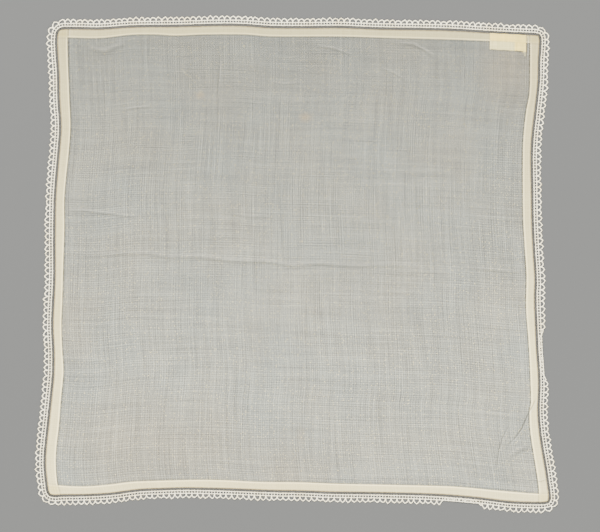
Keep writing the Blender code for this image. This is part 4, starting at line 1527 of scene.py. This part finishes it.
    def work_along(self, name: str, paths: list[np.ndarray], closed: bool, sizes: StitchSizes,
                   seed: int, finish: bpy.types.Material) -> bpy.types.Object:
        """Work thread along paths and return it as a plain mesh.

        Args:
            name: the piece's name.
            paths: points in the tables' millimetres, one path each.
            closed: whether each path's last point joins its first.
            sizes: the stitches' sizes in millimetres.
            seed: the seed of the stitches' unevenness.
            finish: the thread's material.

        Returns:
            The object at the origin, with its place in its mesh and no modifier.
        """
        edges = []
        start = 0
        for path in paths:
            row = np.arange(start, start + len(path))
            edges.append(np.stack((row[:-1], row[1:]), -1))
            if closed:
                edges.append(np.array([[row[-1], row[0]]]))
            start += len(path)
        wire = make_mesh(f"{name}_wire", np.vstack(paths), [], np.vstack(edges))
        modifier = wire.modifiers.new("worked", "NODES")
        modifier.node_group = self.tree
        for size in fields(StitchSizes):
            value = float(getattr(sizes, size.name))
            if size.name in self.LENGTHS:
                value *= MM
            modifier[self.sockets[size.name]] = value
        modifier[self.sockets["seed"]] = seed
        modifier[self.sockets["finish"]] = finish
        view = bpy.context.evaluated_depsgraph_get()
        mesh = bpy.data.meshes.new_from_object(wire.evaluated_get(view))
        mesh.name = name
        bpy.data.objects.remove(wire, do_unlink=True)
        item = bpy.data.objects.new(name, mesh)
        bpy.context.scene.collection.objects.link(item)
        return item


@dataclass
class CrochetEdging:
    """The crochet edging: openwork foot, square meshes between two chains, and arches."""

    foot_offset: float = -0.94
    head_offset: float = 0.92
    openwork_inner: float = -2.70
    openwork_step: float = 0.45
    chain_height: float = 0.62
    chain_points_an_arch: int = 6
    mesh_height: float = 0.52
    # Where the arches turn under on a folded stretch, how much that lifts the edging, how high
    # the folded arches lie, and over what reach they come down to it
    fold_line: float = 1.35
    fold_lift: float = 0.40
    fold_under: float = 0.42
    fold_run: float = 0.6
    # Unevenness of the hand's work, as spreads. An arch: lean and width as shares of its
    # width, growth, height; a chain: sideways, height; a post: sideways, slant
    lean: float = 0.09
    arch_spread: float = 0.05
    swell: float = 0.20
    arch_lift: float = 0.04
    chain_sway: float = 0.05
    chain_lift: float = 0.03
    post_sway: float = 0.07
    post_slant: float = 0.06
    # How far each mesh draws the chains together, and how far a post's middle stands up
    mesh_draw: float = 0.07
    post_bow: float = 0.1
    # The two openwork threads. Columns: inner end from the one above, outer end from the foot
    openwork_ends: Rows = ((0.0, -0.3), (0.15, -0.45))
    openwork_height: float = 0.42
    # Spreads of the openwork: along, across, height
    openwork_spread: tuple[float, float, float] = (0.14, 0.12, 0.10)
    seed: int = 340
    finish: CrochetCotton = CrochetCotton()
    # Painted shade: the openwork's thread is coloured dark to stand in for the shade in the gap
    # between the hem and the lace
    openwork_shade_finish: CrochetCotton = CrochetCotton(
        name="openwork_cotton_painted_dark_as_shade", fresh="#6E695E", aged="#4A463E",
        roughness=0.8, sheen=0.0)
    # How far the arches of each side reach, as shares of the table below
    reach_shares: tuple[tuple[Side, float], ...] = (
        (Side.TOP, 0.94),
        (Side.RIGHT, 1.02),
        (Side.BOTTOM, 1.05),
        (Side.LEFT, 1.04),
    )
    # One arch. Columns: share of its width, reach from the edge line, height (mm)
    arch_rows: Rows = (
        (0.00, 0.95, 0.60),
        (0.015, 1.60, 0.62),
        (0.06, 2.20, 0.62),
        (0.15, 2.78, 0.60),
        (0.28, 3.24, 0.56),
        (0.44, 3.44, 0.56),
        (0.50, 3.78, 0.66),
        (0.56, 3.44, 0.70),
        (0.72, 3.24, 0.66),
        (0.85, 2.78, 0.64),
        (0.94, 2.20, 0.62),
        (0.985, 1.60, 0.60),
        (1.00, 0.95, 0.58),
    )

    def __post_init__(self) -> None:
        """Work out the width of an arch and set the source of unevenness."""
        self.arch_width = EDGE.length / ARCH_COUNT
        self.chance = np.random.default_rng(self.seed)

    def place(self, stations: np.ndarray, reach: np.ndarray, heights: np.ndarray) -> np.ndarray:
        """Return points at reaches from the edge line, turned under where the edging is.

        Args:
            stations: places along the edge line.
            reach: distances outward of it.
            heights: heights over the table.

        Returns:
            Points, one a row.
        """
        folded = folded_share(EDGE.point(stations))
        over = np.maximum(reach - self.fold_line, 0.0)
        turned = np.minimum(reach, self.fold_line) + over * (1.0 - 2.0 * folded)
        beneath = np.clip(over / self.fold_run, 0.0, 1.0) * folded
        lifted = heights + self.fold_lift * folded
        level = lifted * (1.0 - beneath) + self.fold_under * beneath
        return np.column_stack((EDGE.offset(stations, turned), level))

    def chain(self, name: str, offset: float, scallop: float, tool: WorkedThread,
              finish: bpy.types.Material) -> bpy.types.Object:
        """Work one chain in the round.

        Args:
            name: the piece's name.
            offset: its distance from the edge line.
            scallop: how far each mesh draws it aside.
            tool: the tree that works chain stitches.
            finish: the thread's material.

        Returns:
            The chain.
        """
        count = self.chain_points_an_arch * ARCH_COUNT
        stations = np.linspace(0.0, EDGE.length, count, endpoint=False)
        phase = 4.0 * np.pi * stations / self.arch_width
        reach = offset + scallop * np.cos(phase) + self.chance.normal(0.0, self.chain_sway, count)
        heights = self.chain_height + self.chance.normal(0.0, self.chain_lift, count)
        path = self.place(stations, reach, heights)
        return tool.work_along(name, [path], True, StitchSizes(), self.seed, finish)

    def posts(self, tool: WorkedThread, finish: bpy.types.Material) -> bpy.types.Object:
        """Work the posts between the two chains, two for each arch.

        Args:
            tool: the tree that works chain stitches.
            finish: the thread's material.

        Returns:
            The posts.
        """
        paths = []
        for post in range(2 * ARCH_COUNT):
            station = 0.5 * post * self.arch_width + self.chance.normal(0.0, self.post_sway)
            slant = self.chance.normal(0.0, self.post_slant)
            stations = np.array((station - slant, station, station + slant))
            reach = np.array((self.foot_offset, 0.0, self.head_offset))
            bows = np.array((0.0, self.post_bow, 0.0))
            heights = self.mesh_height + bows
            paths.append(self.place(stations, reach, heights))
        sizes = StitchSizes(spacing=0.62, leg_length=0.85, leg_width=0.20, leg_height=0.34,
                            leg_spread=0.08, leg_angle=8.0, core_radius=0.16)
        return tool.work_along("mesh_posts", paths, False, sizes, self.seed + 1, finish)

    def arch_paths(self) -> dict[Side, list[np.ndarray]]:
        """Return the arches' paths, each arch with its own lean and size.

        Returns:
            The paths of each side's arches, in the order in which they are worked.
        """
        rows = np.array(self.arch_rows)
        found: dict[Side, list[np.ndarray]] = {side: [] for side in Side}
        for arch in range(ARCH_COUNT):
            lean = self.chance.normal(0.0, self.lean)
            swell = self.chance.normal(0.0, self.swell)
            width = 1.0 + self.chance.normal(0.0, self.arch_spread)
            middle = np.sin(np.pi * rows[:, 0])
            shares = 0.5 + (rows[:, 0] - 0.5) * width + lean * middle
            stations = (arch + shares) * self.arch_width
            out_x, out_y = EDGE.outward(np.array([(arch + 0.5) * self.arch_width]))[0]
            if abs(out_y) >= abs(out_x):
                side = Side.TOP if out_y > 0.0 else Side.BOTTOM
            else:
                side = Side.RIGHT if out_x > 0.0 else Side.LEFT
            share = dict(self.reach_shares)[side]
            past_head = rows[:, 1] - self.head_offset
            reach = self.head_offset + past_head * share + swell * middle ** 2
            heights = rows[:, 2] + self.chance.normal(0.0, self.arch_lift, len(rows))
            found[side].append(self.place(stations, reach, heights))
        return found

    def openwork_paths(self) -> list[np.ndarray]:
        """Return two zigzag threads that join the foot chain to the hem's fold.

        Returns:
            One path a thread.
        """
        paths = []
        count = 2 * round(EDGE.length / (2.0 * self.openwork_step))
        along, across, lift = self.openwork_spread
        for inner_shift, outer_shift in self.openwork_ends:
            inner = self.openwork_inner + inner_shift
            outer = self.foot_offset + outer_shift
            stations = np.arange(count) * EDGE.length / count
            stations = stations + self.chance.normal(0.0, along, count)
            reach = np.where(np.arange(count) % 2 == 0, inner, outer)
            reach = reach + self.chance.normal(0.0, across, count)
            heights = self.openwork_height + self.chance.normal(0.0, lift, count)
            paths.append(self.place(stations, reach, heights))
        return paths

    def build(self) -> list[bpy.types.Object]:
        """Build every part of the edging.

        Returns:
            The pieces, from the hem outward.
        """
        chain = WorkedThread(Work.CHAIN)
        thread = WorkedThread(Work.THREAD)
        cotton = self.finish.material()
        fine = StitchSizes(core_radius=0.07)
        pieces = [
            thread.work_along("openwork", self.openwork_paths(), True, fine, self.seed,
                              self.openwork_shade_finish.material()),
            self.chain("foot_chain", self.foot_offset, -self.mesh_draw, chain, cotton),
            self.posts(chain, cotton),
            self.chain("head_chain", self.head_offset, self.mesh_draw, chain, cotton),
        ]
        sizes = StitchSizes(spacing=0.60, leg_length=0.84, leg_width=0.35, leg_height=0.38,
                            leg_spread=0.13, leg_angle=14.0, core_radius=0.24, unevenness=0.12)
        for side, paths in self.arch_paths().items():
            name = f"arches_{side.value}"
            pieces.append(chain.work_along(name, paths, False, sizes, self.seed, cotton))
        return pieces


@dataclass
class HemStitching:
    """Hemming stitches along the turned edge, one row a side."""

    spacing: float = 1.45
    # How deep into the hem the row lies, its spread, and how high over the cloth
    depth: float = -0.02
    sway: float = 0.05
    lift: float = 0.02
    # How far a row reaches from the middle of its side, and its gap to the other hems
    level_half: float = 152.0
    upright_half: float = 146.0
    end_gap: float = 1.0
    row_step: float = 1.0
    seed: int = 12
    finish: CrochetCotton = CrochetCotton(
        name="white_sewing_cotton", fresh="#F3EEDC", aged="#DDD3B8", roughness=0.75)

    def build(self, lawn: Lawn) -> bpy.types.Object:
        """Sew the four rows on the cloth.

        Args:
            lawn: the cloth that they are sewn on.

        Returns:
            The stitches.
        """
        chance = np.random.default_rng(self.seed)
        paths = []
        for side in Side:
            is_level = side in (Side.TOP, Side.BOTTOM)
            outward = 1.0 if side in (Side.TOP, Side.RIGHT) else -1.0
            half = self.level_half if is_level else self.upright_half
            along = np.arange(-half, half, self.row_step)
            across = hem_across(side, along) + outward * self.depth
            across = across + chance.normal(0.0, self.sway, len(along))
            columns = (along, across) if is_level else (across, along)
            points = np.stack(columns, -1)
            others = hem_depths(points)
            others[:, list(Side).index(side)] = -self.end_gap - 1.0
            points = points[others.max(axis=1) < -self.end_gap]
            heights = lawn.height(points) + self.lift
            paths.append(np.column_stack((points, heights)))
        sizes = StitchSizes(spacing=self.spacing, leg_length=0.75, leg_width=0.17,
                            leg_height=0.16, leg_spread=0.05, leg_angle=38.0,
                            core_radius=0.0, unevenness=0.08)
        whip = WorkedThread(Work.WHIP)
        return whip.work_along("hem_stitches", paths, False, sizes, self.seed,
                               self.finish.material())


@dataclass
class SewnTape:
    """The blank woven tape over the hem at the upper right, its right end turned under."""

    left: float = 125.3
    right: float = 148.6
    top_left: float = 150.0
    height: float = 10.5
    slope: float = -0.055
    # Its long sides wander a little. Columns: how far, turns (radians a millimetre)
    top_wander: tuple[float, float] = (0.10, 0.8)
    bottom_wander: tuple[float, float] = (0.06, 2.3)
    # The turned-under end begins here, and the cloth steps up to it over this length
    fold_start: float = 141.2
    fold_step: float = 0.8
    # The frayed tail under that end, and how soon it begins
    tail_width: float = 1.3
    tail_length: float = 3.3
    tail_step: float = 0.3
    thickness: float = 0.22
    clearance: float = 0.10
    turn_gap: float = 0.10
    turn_points: int = 7
    pitch: float = 0.4
    # To the eye: how soon it takes the tone over the hem or of the doubled end, and the tail's
    zone_step: float = 0.5
    tail_fade: float = 0.6
    # How far inside the tape's sides it is sewn, and step of the points of a row
    inset: float = 0.35
    row_step: float = 0.5
    seed: int = 5
    finish: CottonTape = CottonTape()
    thread: CrochetCotton = CrochetCotton(
        name="cream_sewing_cotton", fresh="#EFE6CC", aged="#D9CBA6", roughness=0.75)

    def top(self, x: np.ndarray) -> np.ndarray:
        """Return the height up the cloth of the tape's top side."""
        size, turn = self.top_wander
        return self.top_left + self.slope * (x - self.left) + size * np.sin(x * turn)

    def fold_lift(self, x: np.ndarray) -> np.ndarray:
        """Return how far the tape lies over its turned-under end: 0 not at all, 1 wholly."""
        return smooth_step((x - self.fold_start + 0.5 * self.fold_step) / self.fold_step)

    def path(self) -> tuple[np.ndarray, np.ndarray]:
        """Return the tape's line from its left end over to its turned-under end.

        Returns:
            x and the height over the cloth of the tape's middle layer.
        """
        low = self.clearance + 0.5 * self.thickness
        high = low + self.thickness + self.turn_gap
        over = np.arange(self.left, self.right, self.pitch)
        lift = self.fold_lift(over)
        radius = 0.5 * (high - low)
        turn = np.linspace(0.5 * np.pi, -0.5 * np.pi, self.turn_points)
        back = np.arange(self.right - self.pitch, self.fold_start, -self.pitch)
        x = np.concatenate((over, self.right + radius * np.cos(turn), back))
        z = np.concatenate((low + (high - low) * lift,
                            low + radius + radius * np.sin(turn), np.full(len(back), low)))
        return x, z

    def build(self, lawn: Lawn) -> bpy.types.Object:
        """Build the tape as one closed strip with its turned-under end.

        Args:
            lawn: the cloth that it lies on.

        Returns:
            The tape.
        """
        x, z = self.path()
        along = np.stack((np.gradient(x), np.gradient(z)), -1)
        along /= np.linalg.norm(along, axis=1, keepdims=True)
        normal = np.stack((-along[:, 1], along[:, 0]), -1)
        rows = int(self.height / self.pitch) + 1
        shares = np.linspace(1.0, 0.0, rows)
        grid_x, share = np.meshgrid(x, shares)
        bottom = self.top(grid_x) - self.height
        into_tail = grid_x - self.right + self.tail_width
        on_tail = smooth_step(into_tail / self.tail_step + 0.5)
        on_tail = on_tail * (np.arange(len(x)) <= np.argmax(x))[None, :]
        bottom = bottom - self.tail_length * on_tail
        size, turn = self.bottom_wander
        bottom = bottom + size * np.sin(grid_x * turn)
        y = bottom + (self.top(grid_x) - bottom) * (1.0 - share)
        y = y[::-1]
        base = lawn.height(np.stack((grid_x.ravel(), y.ravel()), -1)).reshape(grid_x.shape)
        vertices = []
        for side in (0.5, -0.5):
            shift = side * self.thickness
            vertices.append(np.stack((grid_x + shift * normal[None, :, 0], y,
                                      base + z[None, :] + shift * normal[None, :, 1]), -1))
        points = np.concatenate([layer.reshape(-1, 3) for layer in vertices])
        faces = closed_sheet_faces(rows, len(x))
        item = make_mesh("tape", points, faces)
        on_hem = smooth_step((y - hem_across(Side.TOP, grid_x)) / self.zone_step)
        doubled = smooth_step((grid_x - self.fold_start) / self.zone_step)
        below = self.top(grid_x) - self.height - y
        tail = smooth_step(below / self.tail_fade)
        zones = np.stack((on_hem, doubled, tail), -1).reshape(-1, 3)
        set_attribute(item, "zones", np.vstack((zones, zones)))
        item.data.materials.append(self.finish.material())
        item.data.shade_smooth()
        return item

    def stitching(self, lawn: Lawn) -> bpy.types.Object:
        """Sew the tape's top side and its two ends down with small slanted stitches.

        Args:
            lawn: the cloth that the tape is sewn to.

        Returns:
            The stitches.
        """
        inset = self.inset
        level = np.arange(self.left + inset, self.right - inset, self.row_step)
        upright = np.arange(0.0, self.height - inset, self.row_step)
        top_row = np.stack((level, self.top(level) - inset), -1)
        rows = [top_row]
        for x in (self.left + inset, self.right - inset):
            rows.append(np.stack((np.full(len(upright), x), self.top(x) - inset - upright), -1))
        paths = []
        for row in rows:
            lift = self.clearance + self.thickness
            lift = lift + (self.thickness + self.turn_gap) * self.fold_lift(row[:, 0])
            paths.append(np.column_stack((row, lawn.height(row) + lift)))
        sizes = StitchSizes(spacing=1.3, leg_length=0.7, leg_width=0.16, leg_height=0.14,
                            leg_spread=0.0, leg_angle=35.0, core_radius=0.0, unevenness=0.08)
        whip = WorkedThread(Work.WHIP)
        return whip.work_along("tape_stitches", paths, False, sizes, self.seed,
                               self.thread.material())


@dataclass
class Studio:
    """Pale board, soft lights and the camera straight above, as the photograph was taken."""

    board_half: float = 2.0
    frame_width: float = 0.390
    centre: tuple[float, float] = (1.95, -1.30)
    camera_height: float = 2.6
    clip_end: float = 10.0
    sensor: float = 36.0
    world_strength: float = 1.70
    light_colour: str = "#FFFAE9"
    # Columns: x, y, z (m), size (m), watts
    lights: Rows = (
        (-0.50, 1.15, 1.90, 1.0, 145.0),
        (0.75, -1.00, 1.00, 1.0, 34.0),
    )
    finish: PaleBoard = PaleBoard()

    def board(self) -> bpy.types.Object:
        """Lay the board that the handkerchief lies on.

        Returns:
            The board.
        """
        half = self.board_half / MM
        corners = np.array(((-half, -half, 0.0), (half, -half, 0.0), (half, half, 0.0),
                            (-half, half, 0.0)))
        item = make_mesh("board", corners, [(0, 1, 2, 3)])
        item.data.materials.append(self.finish.material())
        return item

    def light(self) -> None:
        """Set the world and the soft lights."""
        world = bpy.data.worlds.new("studio")
        world.use_nodes = True
        sky = world.node_tree.nodes["Background"]
        sky.inputs["Color"].default_value = linear_colour(self.light_colour)
        sky.inputs["Strength"].default_value = self.world_strength
        bpy.context.scene.world = world
        for number, (x, y, z, size, watts) in enumerate(self.lights):
            lamp = bpy.data.lights.new(f"softbox_{number}", "AREA")
            lamp.size = size
            lamp.energy = watts
            lamp.color = linear_colour(self.light_colour)[:3]
            item = bpy.data.objects.new(lamp.name, lamp)
            item.location = (x, y, z)
            aim = -item.location
            item.rotation_euler = aim.to_track_quat("-Z", "Y").to_euler()
            bpy.context.scene.collection.objects.link(item)

    def camera(self) -> None:
        """Set the camera straight above the middle of the photograph's frame."""
        data = bpy.data.cameras.new("overhead")
        data.sensor_width = self.sensor
        data.lens = self.sensor * self.camera_height / self.frame_width
        data.clip_end = self.clip_end
        item = bpy.data.objects.new("overhead", data)
        middle = (np.array(self.centre) + TABLE_SHIFT) * MM
        item.location = (middle[0], middle[1], self.camera_height)
        bpy.context.scene.collection.objects.link(item)
        bpy.context.scene.camera = item


def report(item: bpy.types.Object) -> None:
    """Log a piece's name and its triangles."""
    item.data.calc_loop_triangles()
    LOG.info("%s: %d triangles", item.name, len(item.data.loop_triangles))


def join_frame(item: bpy.types.Object, node: str | None) -> None:
    """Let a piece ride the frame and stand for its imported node.

    Args:
        item: the piece.
        node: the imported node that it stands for, or None.
    """
    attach(item, ROOT)
    if node is not None:
        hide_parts(node)
    report(item)


def main() -> None:
    """Build the handkerchief's pieces in order, then the studio."""
    logging.basicConfig(level=logging.INFO, format="%(message)s")
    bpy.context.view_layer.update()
    studio = Studio()
    studio.camera()

    lawn = Lawn()
    cloth = lawn.build()
    join_frame(cloth, "cloth")
    stitches = HemStitching().build(lawn)
    join_frame(stitches, None)

    edging = CrochetEdging().build()
    for piece in edging:
        join_frame(piece, "lace_edging")

    tape_maker = SewnTape()
    tape = tape_maker.build(lawn)
    join_frame(tape, "label")
    tape_stitches = tape_maker.stitching(lawn)
    join_frame(tape_stitches, None)

    studio.board()
    studio.light()


if __name__ == "__main__":
    main()
